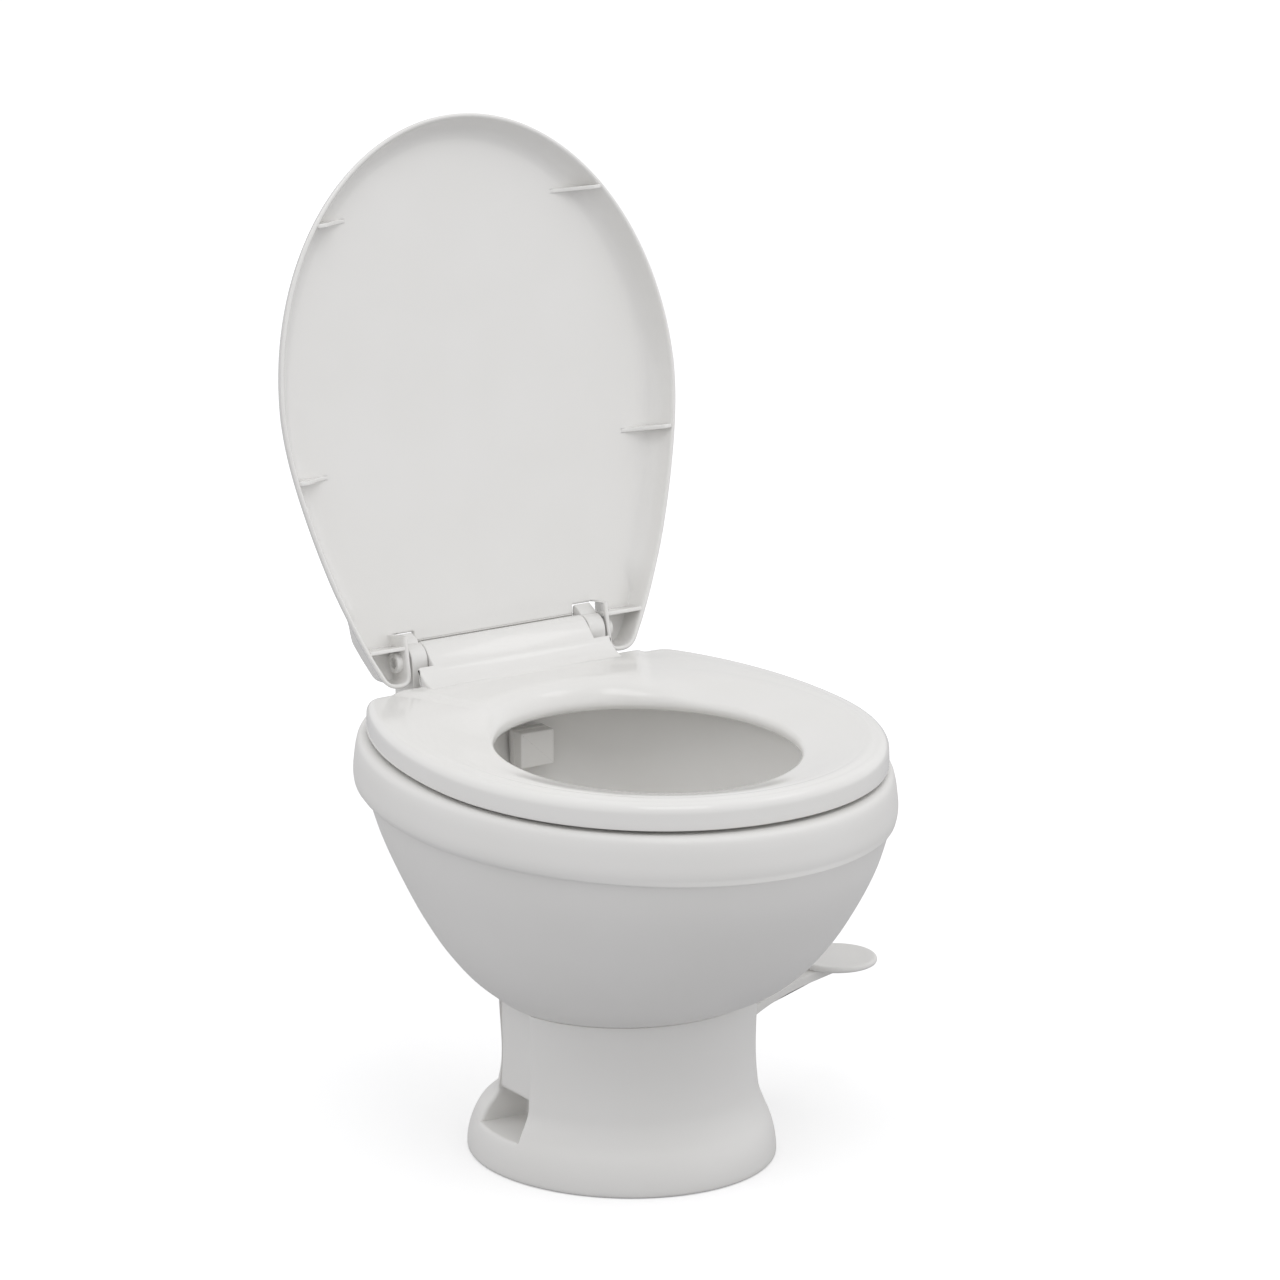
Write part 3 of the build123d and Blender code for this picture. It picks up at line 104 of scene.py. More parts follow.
def surface(name, grid, looped=False, capped=False, cut=None):
    """A mesh over a grid of points in mm: each four neighbours are one face and columns close into a
    ring. Rows close too where looped, the end rows are filled and flat where capped, and faces marked
    in cut are left out."""
    rows, columns = grid.shape[:2]
    index = np.arange(rows * columns).reshape(rows, columns)
    index = np.concatenate([index, index[:, :1]], axis=1)
    if looped:
        index = np.concatenate([index, index[:1]], axis=0)
    quads = np.stack([index[:-1, :-1], index[:-1, 1:], index[1:, 1:], index[1:, :-1]], axis=-1)
    if cut is not None:
        quads = quads[~cut]
    faces = quads.reshape(-1, 4).tolist()
    if capped:
        faces += [index[0, :-1].tolist(), index[-1, :-1].tolist()]
    mesh = bpy.data.meshes.new(name)
    mesh.from_pydata((grid.reshape(-1, 3) / 1000).tolist(), [], faces)
    same_point, hard_edge = 2e-6, math.radians(38)  # metres apart, and the angle between faces
    shape = bmesh.new()
    shape.from_mesh(mesh)
    bmesh.ops.remove_doubles(shape, verts=shape.verts, dist=same_point)
    bmesh.ops.recalc_face_normals(shape, faces=shape.faces)
    shape.to_mesh(mesh)
    shape.free()
    corners = np.empty(len(mesh.polygons), np.int32)
    mesh.polygons.foreach_get("loop_total", corners)
    mesh.polygons.foreach_set("use_smooth", corners <= 4)
    mesh.set_sharp_from_angle(angle=hard_edge)
    return mesh


def fit(name, mesh, material, body, nodes=()):
    """Puts a finished mesh into the scene on its body, in place of the solids that it dresses."""
    mesh.materials.append(material)
    piece = bpy.data.objects.new(name, mesh)
    bpy.context.scene.collection.objects.link(piece)
    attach(piece, body)
    if nodes:
        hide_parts(*nodes)
    return piece


def curve(at, knots, values):
    """A smooth line through (knots, values): a cubic between knots, with the slopes of the chords
    about them."""
    knots, values = np.asarray(knots, float), np.asarray(values, float)
    slopes = np.gradient(values, knots)
    left = np.clip(np.searchsorted(knots, at, side="right") - 1, 0, len(knots) - 2)
    step = knots[left + 1] - knots[left]
    t = (at - knots[left]) / step
    return ((1 + 2 * t) * (1 - t) ** 2 * values[left] + t * (1 - t) ** 2 * step * slopes[left]
            + t * t * (3 - 2 * t) * values[left + 1] + t * t * (t - 1) * step * slopes[left + 1])


# satin shell plastic: an even off-white with a soft sheen and a faint spark-eroded grain
shell_plastic = moulded("satin_moulded_polypropylene", "#E6E5E3", "#E2E1DE", roughness=0.44, spread=0.05,
                        grain_mm=0.9, grain_depth=0.012, wave_mm=90, wave_depth=0.05)

# mm: the neck's half width and length, the channel's sides, how far out its floor is at each height,
# the round and draft of its sides, the soft limit of its floor, and the pedal's slot
neck_half, neck_long = 100.0, 95.0
niche_front, niche_rear = -25.0, 32.0
niche_back = np.array([62.0, 62.0, 90.5, 90.5])
niche_back_z = np.array([0.0, 42.0, 57.0, 200.0])
edge_round, draft = 4.5, 0.5
floor_soft = 1.2
slot_z, slot_y, slot_x = (58.0, 98.0), 16.0, 96

# rows: height, draw inwards from the outline, and how far the channels are sunk
foot_rows = [(0.0, 3.2, 0), (0.0, 2.2, 0), (0.5, 1.0, 0), (1.3, 0.3, 0), (2.6, 0.0, 0)]
foot_rows += [(z, 0.0, 0) for z in np.linspace(5, 26.5, 12)]
foot_rows += [(27.7, 0.0, 0.004), (28.5, 0.0, 0.014), (28.9, 0.0, 0.03), (29.0, 0.0, 0.05)]
foot_rows += [(29.0, 0.0, m) for m in np.linspace(0.09, 0.93, 22)]
foot_rows += [(29.15, 0.0, 0.955), (29.6, 0.0, 0.978), (30.4, 0.0, 0.993), (31.6, 0.0, 1.0)]
upper_z = np.concatenate([np.linspace(33, 58, 19), np.linspace(60, 98, 20), np.linspace(100, 128, 15)])
foot_rows += [(z, 0.0, 1.0) for z in upper_z]
foot_rows += [(129.0, 0.1, 1), (129.6, 0.4, 1), (129.9, 0.9, 1), (129.9, 2.5, 1), (129.9, 20, 1),
              (129.9, 55, 1)]
height, draw, sunk = np.array(foot_rows).T[:, :, None]
foot_z = [0, 8, 25, 36, 50, 62, 130]
flare = curve(height, foot_z, [1, 0.985, 0.79, 0.53, 0.113, 0, 0])
half = neck_half + 16 * flare - draw
long = neck_long + 30 * flare - draw
centre = curve(height, foot_z, [-1.5, -1.5, -2.2, -2.8, -9.5, -11, -11])


def side_width(y):
    """Half width of the ellipse at each depth y: half times the root of one less the square of y's
    share of its length."""
    return half * np.sqrt(np.clip(1 - ((y - centre) / long) ** 2, 0, 1))


# front arc, mouth edge, front wall, inner corner, back wall, and the same again to the rear
mouth_front = niche_front - edge_round
mouth_rear = niche_rear + edge_round
start = np.arcsin(np.clip((mouth_front - centre) / long, -1, 1))
stop = np.arcsin(np.clip((mouth_rear - centre) / long, -1, 1))
share = np.linspace(0, 1, 46)
front_y = centre + long * np.sin(-np.pi / 2 + (start + np.pi / 2) * share)
front_x = half * np.cos(-np.pi / 2 + (start + np.pi / 2) * share)
rear_y = centre + long * np.sin(stop + (np.pi / 2 - stop) * share)
rear_x = half * np.cos(stop + (np.pi / 2 - stop) * share)
turn = np.radians(np.linspace(15, 90, 6))
wall = np.linspace(0, 1, 8)[1:]
corner = np.radians(np.linspace(0, 90, 6))[1:]
back = np.interp(height, niche_back_z, niche_back)


def niche_side(edge, inward):
    """One wall of a channel: a round mouth, a wall with a little draft and a round inner corner."""
    depth = np.clip((side_width(edge) - back) * sunk, 0, None)
    mouth = np.minimum(edge_round, depth / 2.5)
    mouth_y = edge - inward * edge_round * (1 - np.sin(turn)) + 0 * depth
    mouth_x = side_width(mouth_y) - mouth * (1 - np.cos(turn))
    wall_y = edge + inward * draft * wall + 0 * depth
    wall_x = side_width(wall_y) - mouth - (depth - 2 * mouth) * wall
    inner_y = edge + inward * (draft + edge_round * (1 - np.cos(corner))) + 0 * depth
    inner_x = side_width(inner_y) - np.minimum(
        depth - mouth + mouth * np.sin(corner), np.clip((side_width(inner_y) - back) * sunk, 0, None))
    return (np.concatenate([mouth_x, wall_x, inner_x], axis=1),
            np.concatenate([mouth_y, wall_y, inner_y], axis=1))


near_x, near_y = niche_side(niche_front, 1)
far_x, far_y = niche_side(niche_rear, -1)
floor_y = np.concatenate([[-20], np.linspace(-slot_y, slot_y, 17), [20, 24, 27]]) + 0 * height
floor_depth = side_width(floor_y) - back
floor_depth = floor_depth + np.logaddexp(0, -floor_depth / floor_soft) * floor_soft
floor_x = side_width(floor_y) - sunk * floor_depth
side_x = np.concatenate([front_x, near_x, floor_x, far_x[:, ::-1], rear_x], axis=1)
side_y = np.concatenate([front_y, near_y, floor_y, far_y[:, ::-1], rear_y], axis=1)
outline_x = np.concatenate([side_x, -side_x[:, -2:0:-1]], axis=1)
outline_y = np.concatenate([side_y, side_y[:, -2:0:-1]], axis=1)
grid = np.stack([outline_x, outline_y, height + 0 * outline_x], axis=-1)
middle = (grid[:-1] + np.roll(grid[:-1], -1, axis=1) + grid[1:] + np.roll(grid[1:], -1, axis=1)) / 4
in_slot = ((middle[..., 0] > 0) & (abs(middle[..., 1]) < slot_y) & (middle[..., 0] < slot_x)
           & (middle[..., 2] > slot_z[0]) & (middle[..., 2] < slot_z[1]))
pedestal = fit("pedestal_shell", surface("pedestal_shell", grid, cut=in_slot), shell_plastic,
               "base", ["pedestal"])
wall_thickness = pedestal.modifiers.new("wall", "SOLIDIFY")
wall_thickness.thickness = 0.0028
wall_thickness.offset = -1.0

# Waste valve: the black glass-filled nylon chamber, its ball, gears, spring and
# seals, with ground steel pins and screws, all screwed up under the deck.
# They keep their solid shapes and get the finish of what they are made of.

# black valve nylon: near black, dull, with the cloudy sheen of glass fibre at its skin
valve_nylon = moulded("glass_filled_nylon", "#2A2B2E", "#1E1F22", roughness=0.5, spread=0.08,
                      grain_mm=0.6, grain_depth=0.02, wave_mm=40, wave_depth=0.03)
# natural gear nylon: a warm translucent-looking cream, slightly waxy
gear_nylon = moulded("natural_machined_nylon", "#D8D3C4", "#CDC7B6", roughness=0.42, spread=0.05,
                     grain_mm=0.5, grain_depth=0.01, wave_mm=30, wave_depth=0.01)
# black seal rubber: matt with a bloom that lightens it in patches
seal_rubber = moulded("moulded_nitrile_rubber", "#202124", "#151618", roughness=0.72, spread=0.06,
                      grain_mm=0.8, grain_depth=0.02, wave_mm=12, wave_depth=0.02)
# pin steel: bright, with fine grinding marks that break up its reflections
ground_steel = moulded("ground_stainless_steel", "#BDBEC1", "#ADAEB1", roughness=0.26, spread=0.07,
                       grain_mm=0.35, grain_depth=0.004, wave_mm=25, wave_depth=0.0, metallic=1.0)
# hose vinyl: milky grey, smooth, a little soft in its gloss
hose_vinyl = moulded("flexible_milky_vinyl", "#C6C7C6", "#BABBB9", roughness=0.34, spread=0.05,
                     grain_mm=1.5, grain_depth=0.01, wave_mm=20, wave_depth=0.05)
# the bumpers under the seat are pale, so they take the cream finish of the gears
node_finish = {
    "valve_plastic": valve_nylon, "ball_gloss": valve_nylon, "gear_nylon": gear_nylon,
    "seal_rubber": seal_rubber, "pin_steel": ground_steel, "screw_steel": ground_steel,
    "hose_plastic": hose_vinyl, "bumper_rubber": gear_nylon, "pedestal_plastic": shell_plastic,
    "bowl_plastic": shell_plastic, "basin_gloss": shell_plastic, "seat_gloss": shell_plastic,
    "lid_gloss": shell_plastic,
}
for entry in frame["record"]["subparts"]:
    node = frame["nodes"][entry["node"]]
    node.data.materials.clear()
    node.data.materials.append(node_finish[entry["material_slot"]])

# Pedal: a white polypropylene lever on the steel pin. Its arm is a channel of
# two cheeks and a top plate stiffened by cross ribs, and its round pad has a
# dished top with a soft raised rim.


def rounded(corners, radii, points=6):
    """A closed outline with its corners rounded: at each corner a parabola from r before it to r
    after it, with r at most 0.48 of the shorter side there."""
    corners = np.asarray(corners, float)
    before = np.roll(corners, 1, axis=0) - corners
    after = np.roll(corners, -1, axis=0) - corners
    lengths = np.stack([np.linalg.norm(before, axis=1), np.linalg.norm(after, axis=1)])
    radii = np.minimum(np.broadcast_to(radii, len(corners)), lengths.min(axis=0) * 0.48)[:, None]
    t = np.linspace(0, 1, points)[None, :, None]
    first = (corners + before / lengths[0][:, None] * radii)[:, None]
    last = (corners + after / lengths[1][:, None] * radii)[:, None]
    return ((1 - t) ** 2 * first + 2 * t * (1 - t) * corners[:, None] + t * t * last).reshape(-1, 2)


def drawn_in(outline, depth):
    """An outline moved inwards: each point steps by depth along the normal of its neighbours' chord."""
    chord = np.roll(outline, -1, axis=0) - np.roll(outline, 1, axis=0)
    around = np.cross(outline, np.roll(outline, -1, axis=0)).sum()
    normal = np.stack([-chord[:, 1], chord[:, 0]], axis=-1) * np.sign(around)
    return outline + normal / np.maximum(np.linalg.norm(normal, axis=1), 1e-9)[:, None] * depth


def bar(outline, low, high, rounding, along):
    """An outline drawn out from low to high on the axis named by along. At t into a rounded end it is
    drawn in by r less the root of r squared less (r - t) squared. Its values go to the other axes."""
    angle = np.radians(np.linspace(0, 90, 5))
    inset = np.concatenate([[rounding + 0.4], rounding * (1 - np.sin(angle))])
    station = np.concatenate([[0], rounding * (1 - np.cos(angle))])
    inset = np.concatenate([inset, inset[::-1]])
    station = np.concatenate([low + station, (high - station)[::-1]])
    flat = np.stack([drawn_in(outline, d) for d in inset])
    level = np.broadcast_to(station[:, None, None], flat.shape[:2] + (1,))
    return np.concatenate([flat[..., :along], level, flat[..., along:]], axis=-1)


# mm: the pedal's pin, the pad's middle, half width and half depth, the radii of the hub and its bore,
# and the half widths of the arm's top plate and ribs
pin_x, pin_z = 62.0, 72.0
pad_x, pad_z, pad_half, pad_deep = 196.0, 120.0, 32.0, 32.5
hub_round, bore_round = 7.5, 4.0
plate_half, rib_half = 13.6, 11.6
ring = np.linspace(0, 2 * np.pi, 96, endpoint=False)
# rows: share of the pad's size and level, from the middle of its top to the middle underneath
pad_rows = np.array([
    (0.0, -2.0), (0.25, -1.95), (0.5, -1.7), (0.7, -1.2), (0.82, -0.5), (0.88, -0.1), (0.92, 0.0),
    (0.95, -0.15), (0.975, -0.7), (0.99, -1.5), (1.0, -2.6), (0.995, -3.6), (0.98, -4.4),
    (0.96, -4.8), (0.93, -5.0), (0.9, -5.0), (0.86, -4.7), (0.84, -4.2), (0.6, -4.0), (0.3, -4.0),
    (0.0, -4.0),
])
pad_share, pad_level = pad_rows.T[:, :, None]
grid = np.stack([
    pad_x + pad_half * pad_share * np.cos(ring), pad_deep * pad_share * np.sin(ring),
    pad_z + pad_level + 0 * ring,
], axis=-1)
fit("pedal_pad", surface("pedal_pad", grid), shell_plastic, "pedal", ["pedal"])
hub, hub_bore = (np.stack([pin_x + r * np.cos(ring), pin_z + r * np.sin(ring)], axis=-1)
                 for r in (hub_round, bore_round))
hub_grid = np.stack([
    np.insert(drawn_in(o, d), 1, y, axis=1)
    for o, d, y in (
        (hub, 1.0, -14), (hub, 0.3, -13.7), (hub, 0, -13),
        (hub, 0, 13), (hub, 0.3, 13.7), (hub, 1.0, 14),
        (hub_bore, -0.5, 14), (hub_bore, 0, 13.5), (hub_bore, 0, -13.5), (hub_bore, -0.5, -14),
    )
])
fit("pedal_hub", surface("pedal_hub", hub_grid, looped=True), shell_plastic, "pedal")
arm_top = rounded([(64, 78.5), (100, 90.5), (124.6, 102), (150, 110.5), (171, 116.2), (192, 116.2),
                   (192, 113.6), (172.5, 113.0), (151, 107.4), (125.6, 98.8), (101, 87.4),
                   (66, 75.5)], 1.2)
fit("pedal_arm_plate", surface("pedal_arm_plate", bar(arm_top, -plate_half, plate_half, 0.8, 1), capped=True),
    shell_plastic, "pedal")
cheek = rounded([(64, 67.5), (100, 81.0), (124.6, 95.0), (152, 104.2), (188, 111.5), (194, 115.6),
                 (170, 115.6), (150, 110.0), (124.6, 101.5), (100, 90.0), (62, 77.5)],
                [2, 14, 14, 14, 3, 1, 4, 10, 10, 10, 2])
for name, low, high in (("pedal_cheek_front", -14.0, -11.2), ("pedal_cheek_rear", 11.2, 14.0)):
    fit(name, surface(name, bar(cheek, low, high, 0.7, 1), capped=True),
        shell_plastic, "pedal")
for number, x in enumerate(np.linspace(78, 180, 9)):
    low_z = np.interp(x, [64, 100, 124.6, 152, 188], [68.6, 82.2, 96.2, 105.3, 112.5])
    high_z = np.interp(x, [64, 100, 124.6, 150, 171, 190], [77.5, 89.5, 101, 109.5, 115, 115.5])
    rib = rounded([(x - 0.9, low_z), (x + 0.9, low_z), (x + 1.1, high_z), (x - 1.1, high_z)], 0.4)
    name = f"pedal_rib_{number + 1}"
    fit(name, surface(name, bar(rib, -rib_half, rib_half, 0.2, 1), capped=True),
        shell_plastic, "pedal")

# Bowl: the outer shell with its swelling rim band, one polypropylene moulding
# screwed to the deck. The band stands a few millimetres proud of the body and
# the back is flattened so that the toilet goes close to a wall.

# mm: the neck's top and the body's height, how far the body swells beyond the neck, how far its waist
# draws in, its middle, its flat rear and how softly that starts, the rim band, and the basin's middle
neck_top, body_tall = 130, 150
swell_half, swell_front, swell_rear = 84, 138, 146
waist_half, waist_rear = 2.5, 7
body_middle, rear_flat, rear_soft, shell_wall = -11, 205.0, 3.0, 4.5
band_half, band_front, band_rear = 190.98, 234.0, 253.0
basin_middle = -22
body_height = np.array([0, 0.104, 0.227, 0.383, 0.578, 0.792, 1.0]) * body_tall + neck_top
body_swell = np.array([0.0, 0.24, 0.434, 0.61, 0.775, 0.915, 1.0])


def flattened(y, flat, soft):
    """A depth held back by a flat rear: flat less a soft ramp of what lies in front of it."""
    return flat - soft * np.logaddexp(0, (flat - y) / soft)


bowl_rows = []  # height, half width, front and rear half lengths, draw inwards
for z in np.concatenate([[130.1, 130.1, 130.35, 131.0], np.linspace(132.5, 279.6, 46)]):
    swell = curve(np.array([z]), body_height, body_swell)[0]
    waist = np.sin(np.pi * (z - neck_top) / body_tall) ** 0.7
    lip = {130.1: 1.4, 130.35: 0.5, 131.0: 0.1}.get(round(float(z), 2), 0.0)
    bowl_rows.append((z, neck_half + swell_half * swell - waist_half * waist,
                      neck_long + swell_front * swell,
                      neck_long + swell_rear * swell - waist_rear * waist, lip))
bowl_rows[0] = bowl_rows[0][:4] + (6.0,)
for z, proud in ((280.2, 0.15), (280.5, 0.7), (280.6, 2.2), (280.75, 3.6), (281.2, 4.4), (282.0, 4.9)):
    shift = 4 * (1 - proud / 4.9)
    bowl_rows.append((z, 184 + proud, 229.0 + proud + shift, 245.0 + proud - shift, 0.0))
band_z = np.linspace(284, 311, 15)
band_draw = curve(band_z, [280, 287, 300, 311, 318], [1.6, 0.2, 0.8, 2.6, 5.0])
band_z = np.concatenate([band_z, [313, 314.6, 315.9, 316.9, 317.55, 317.9, 318.0, 318.0, 318.0]])
band_draw = np.concatenate([band_draw, [3.1, 3.8, 4.7, 5.9, 7.4, 9.2, 11.2, 16, 38]])
for z, drop in zip(band_z, band_draw):
    bowl_rows.append((z, band_half, band_front, band_rear, max(drop, 0.0)))
height, half, front_long, rear_long, draw = np.array(bowl_rows).T[:, :, None]
ring = np.linspace(0, 2 * np.pi, 288, endpoint=False)
length = np.where(np.sin(ring) > 0, rear_long, front_long) - draw
grid = np.stack([
    (half - draw) * np.cos(ring),
    flattened(body_middle + length * np.sin(ring), rear_flat - draw * (height > 281), rear_soft),
    height + 0 * ring,
], axis=-1)
# the ledge for the basin's lip: height, half width and half length
lip_seat = [(318.0, 140.6, 178.6), (317.6, 140.3, 178.3), (314.8, 140.3, 178.3), (314.6, 139.8, 177.8),
            (314.6, 137, 175), (312.2, 136.6, 174.6), (312.0, 137.4, 175.4)]
inner = np.stack([
    np.stack([w * np.cos(ring), basin_middle + d * np.sin(ring), z + 0 * ring], axis=-1)
    for z, w, d in lip_seat
])
# the hollow inside, down to the deck, and the deck's underside round the outlet
inside_z = np.concatenate([[312.0], np.linspace(300, 134, 24)])
swell = curve(np.minimum(inside_z, 280), body_height, body_swell)[:, None]
length = np.where(np.sin(ring) > 0, neck_long + swell_rear * swell - waist_rear,
                  neck_long + swell_front * swell) - shell_wall
hollow = np.stack([
    (92 + swell_half * swell) * np.cos(ring),
    flattened(body_middle + length * np.sin(ring), rear_flat - shell_wall, rear_soft),
    inside_z[:, None] + 0 * ring,
], axis=-1)
under = np.stack([
    np.stack([r * np.cos(ring), y + r * np.sin(ring), z + 0 * ring], axis=-1)
    for z, r, y in ((130.0, 80, -8), (130.0, 39.5, 0), (129.8, 38.6, 0), (126.1, 38.6, 0))
])
fit("bowl_shell", surface("bowl_shell", np.concatenate([grid, inner, hollow, under]), looped=True),
    shell_plastic, "base", ["bowl"])

# Basin: the glossy white funnel that hangs in the rim by its turned-out lip.
# Its sides fall almost upright and then turn in to the round throat above
# the ball of the waste valve.

# basin gloss: polished mould, so it mirrors the lamps sharply with a slight orange peel
basin_gloss = moulded("polished_basin_polypropylene", "#F2F1EF", "#EFEEEB", roughness=0.13, spread=0.03,
                      grain_mm=1.6, grain_depth=0.004, wave_mm=45, wave_depth=0.05)
# mm: the throat's radius and height, the funnel's height and how far it swells each way
throat, throat_z, basin_tall = 34, 135, 183
basin_half, basin_long = 98, 136
basin_share = np.array([0, 0.137, 0.3, 0.52, 0.765, 1.0])
basin_swell = np.array([0, 0.31, 0.575, 0.80, 0.935, 1.0])


def funnel(height, grow):
    """Rings of the basin: half width and length swell from the throat, and the middle drifts forward
    with them. All grow by the wall's thickness for the outside."""
    swell = curve(np.clip((height - throat_z) / basin_tall, 0, 1), basin_share, basin_swell)[:, None]
    return np.stack([
        (throat + basin_half * swell + grow) * np.cos(ring),
        basin_middle * swell + (throat + basin_long * swell + grow) * np.sin(ring),
        height[:, None] + 0 * ring,
    ], axis=-1)


ring = np.linspace(0, 2 * np.pi, 240, endpoint=False)
lip = np.stack([
    np.stack([w * np.cos(ring), basin_middle + (w + 38) * np.sin(ring), z + 0 * ring], axis=-1)
    for z, w in ((317.9, 133.6), (318.05, 135.5), (318.05, 138), (317.7, 139.3), (316.8, 139.9),
                 (315.2, 140.0), (314.8, 139.6), (314.7, 138.5))
])
inside = funnel(np.concatenate([[126, 129], np.linspace(133, 313, 64), [316, 317.3]]), 0.0)
inside[-2:, :, :2] *= np.array([1.001, 1.004])[:, None, None]
outside = funnel(np.linspace(312, 137, 40), 4.0)
foot = np.stack([
    np.stack([38 * np.cos(ring), 38 * np.sin(ring), z + 0 * ring], axis=-1) for z in (132, 126.2)
])
fit("basin_funnel", surface("basin_funnel", np.concatenate([inside, lip, outside, foot]), looped=True),
    basin_gloss, "base", ["basin"])

# Rinse nozzle: a small glossy block held to the rear of the basin by its
# threaded shank and a nut, with a seamed cover. Its spray slot underneath
# is a thin black bar of the seal rubber, painted shade for the slot's hollow.
nozzle_z, nozzle_half = 287, 14
low, high = nozzle_z - nozzle_half, nozzle_z + nozzle_half
block = rounded([(-15, low), (15, low), (15, high), (-15, high)], 1.8)
# depth and draw inwards, with the seam of the cover at 130 mm
depths = [(121.0, 1.4), (121.1, 0.8), (121.4, 0.35), (121.8, 0.1), (122.3, 0.0), (130.0, 0.0),
          (130.3, 0.45), (130.8, 0.45), (131.1, 0.0), (138.2, 0.0), (139.0, 0.5), (139.0, 1.4)]
grid = np.stack([np.insert(drawn_in(block, d), 1, y, axis=1) for y, d in depths])
fit("nozzle_block", surface("nozzle_block", grid, capped=True),
    basin_gloss, "base", ["rinse_nozzle"])
shank_rows = ((138.5, 0.1), (138.5, 9.0), (141.2, 9.0), (141.2, 6.0),
              (156, 6.0), (157.5, 5.6), (158.0, 5.0), (158.0, 0.1))
grid = np.stack([
    np.stack([r * np.cos(ring), y + 0 * ring, nozzle_z + r * np.sin(ring)], axis=-1)
    for y, r in shank_rows
])
fit("nozzle_shank", surface("nozzle_shank", grid, capped=True), basin_gloss, "base")
# the spray slot: a thin black bar just under the block, painted shade in place of the slot's dark hollow
slot_shade_outline = rounded([(-11, 126.5), (11, 126.5), (11, 129.5), (-11, 129.5)], 1.4)
fit("nozzle_slot_shade", surface("nozzle_slot_shade", bar(slot_shade_outline, 272.85, 274.5, 0.1, 2), capped=True),
    seal_rubber, "base")

# Hinge posts: two solid white blocks on the rim, held down by steel studs and
# nuts. Their heads are round about the hinge axis and carry the pins.

# mm: the hinge axis, the radius of the posts' heads and of the barrel, and the posts' two sides
axis_y, axis_z, head_round = 175.0, 357.0, 13
post_inner, post_outer = 73.0, 87.0
head = np.radians(np.linspace(180, 95, 14))
post = np.concatenate([
    rounded([(160, 318.05), (189, 318.05), (189, 357), (188.9, 373.4), (186.5, 375.5), (176, 371)],
            [0.8, 0.8, 8, 1.2, 1.2, 4])[:36],
    np.stack([axis_y + head_round * np.cos(head), axis_z + head_round * np.sin(head)], axis=-1)[::-1],
])
for name, side in (("left", -1), ("right", 1)):
    low, high = sorted((side * post_inner, side * post_outer))
    fit(f"post_{name}", surface(f"post_{name}", bar(post, low, high, 0.9, 0), capped=True),
        shell_plastic, "base", [f"hinge_post_{name}"])

# Hinge pins: ground steel, fixed in the seat's barrel. Each ends a little way
# inside the boss of the lid's ear, so the boss shows as a dark hole.
tube = np.linspace(0, 2 * np.pi, 40, endpoint=False)
pin_rows = ((51.0, 0.05), (51.0, 3.4), (51.6, 4.0), (91.4, 4.0), (92.0, 3.4), (92.0, 0.05))
for name, side in (("left", -1), ("right", 1)):
    grid = np.stack([
        np.stack([side * x + 0 * tube, axis_y + r * np.cos(tube), axis_z + r * np.sin(tube)], axis=-1)
        for x, r in pin_rows
    ])
    fit(f"hinge_pin_{name}", surface(f"hinge_pin_{name}", grid, capped=True),
        ground_steel, "seat", ["hinge_pins"])

# Seat: a glossy white polypropylene ring, hollow underneath, whose top slopes
# gently to a soft roll at its hole. At the rear its deck is slightly raised,
# and a ramp sweeps up in front of the long hinge barrel.


def smooth_step(value):
    """Rises from 0 to 1 as value does, level at both ends: three squares less two cubes."""
    value = np.clip(value, 0, 1)
    return value * value * (3 - 2 * value)


# seat gloss: thick polished plastic, bright reflections with a barely visible mould wave
seat_gloss = moulded("polished_seat_polypropylene", "#EAE9E7", "#E6E5E2", roughness=0.12, spread=0.02,
                     grain_mm=1.4, grain_depth=0.003, wave_mm=60, wave_depth=0.06)
# mm: the seat's half width, middle, front and rear lengths and straight rear, then the half width,
# middle and half length of its hole, its underside, and the half widths of the ramp and the barrel
seat_half, seat_middle, seat_front, seat_rear, seat_flat = 180, -26, 205, 262, 152.5
hole_half, hole_middle, hole_long = 111.5, -39, 127
seat_bottom, ramp_half, barrel_half = 321, 86, 72.5
ring = np.linspace(0, 2 * np.pi, 320, endpoint=False)
power = 2 / 2.06
cosine, sine = np.cos(ring), np.sin(ring)
seat_y = seat_middle + np.where(sine > 0, seat_rear, seat_front) * np.sign(sine) * abs(sine) ** power
outer = np.stack([
    seat_half * np.sign(cosine) * abs(cosine) ** power, flattened(seat_y, seat_flat, 5.0),
], axis=-1)
hole = np.stack([hole_half * cosine, hole_middle + hole_long * sine], axis=-1)
bottom_round = np.radians(np.linspace(0, 90, 5))
top_round = np.radians(np.linspace(0, 90, 9))
# rows: draw inwards and height, from the hollow underneath, round the bottom edge and up to the top
outer_rows = [(8.6, 336.0), (7.9, 334.5), (7.4, 322.0), (6.9, 321.2), (6.2, 321.0)]
outer_rows += list(zip(1.5 * (1 - np.sin(bottom_round)), seat_bottom + 1.5 * (1 - np.cos(bottom_round))))
outer_rows += [(0.0, 327.0), (0.15, 331.0)]
outer_rows += list(zip(0.2 + 7.8 * (1 - np.cos(top_round)), 333.5 + 8 * np.sin(top_round)))
# rows: distance out from the hole and height at the front, down the slope, round the roll and up
# into the hollow; at the back the slope becomes a rounder quarter, roll_tall high and roll_wide deep
roll_z, roll_tall, roll_wide = 326.8, 15, 20
nose = np.radians(np.linspace(72, 0, 12))
inner_rows = [(46, 341.8), (40, 340.9), (34, 339.6), (28, 338.1), (22, 336.5), (16, 334.9), (12, 333.9),
              (8, 332.9), (5.5, 332.3)]
inner_rows += list(zip(5 * (1 - np.cos(nose)), roll_z + 5.2 * np.sin(nose)))
inner_rows += [(0.0, 326.0), (0.35, 324.9), (1.1, 323.6), (2.4, 322.3), (4.2, 321.4), (6.5, 321.0),
               (8.8, 321.0), (9.6, 321.6), (10.0, 328.4), (13.0, 330.4)]
back_out, front_z = np.array(inner_rows).T
back_roll = roll_z + roll_tall * np.sqrt(1 - (1 - np.minimum(back_out, roll_wide) / roll_wide) ** 2)
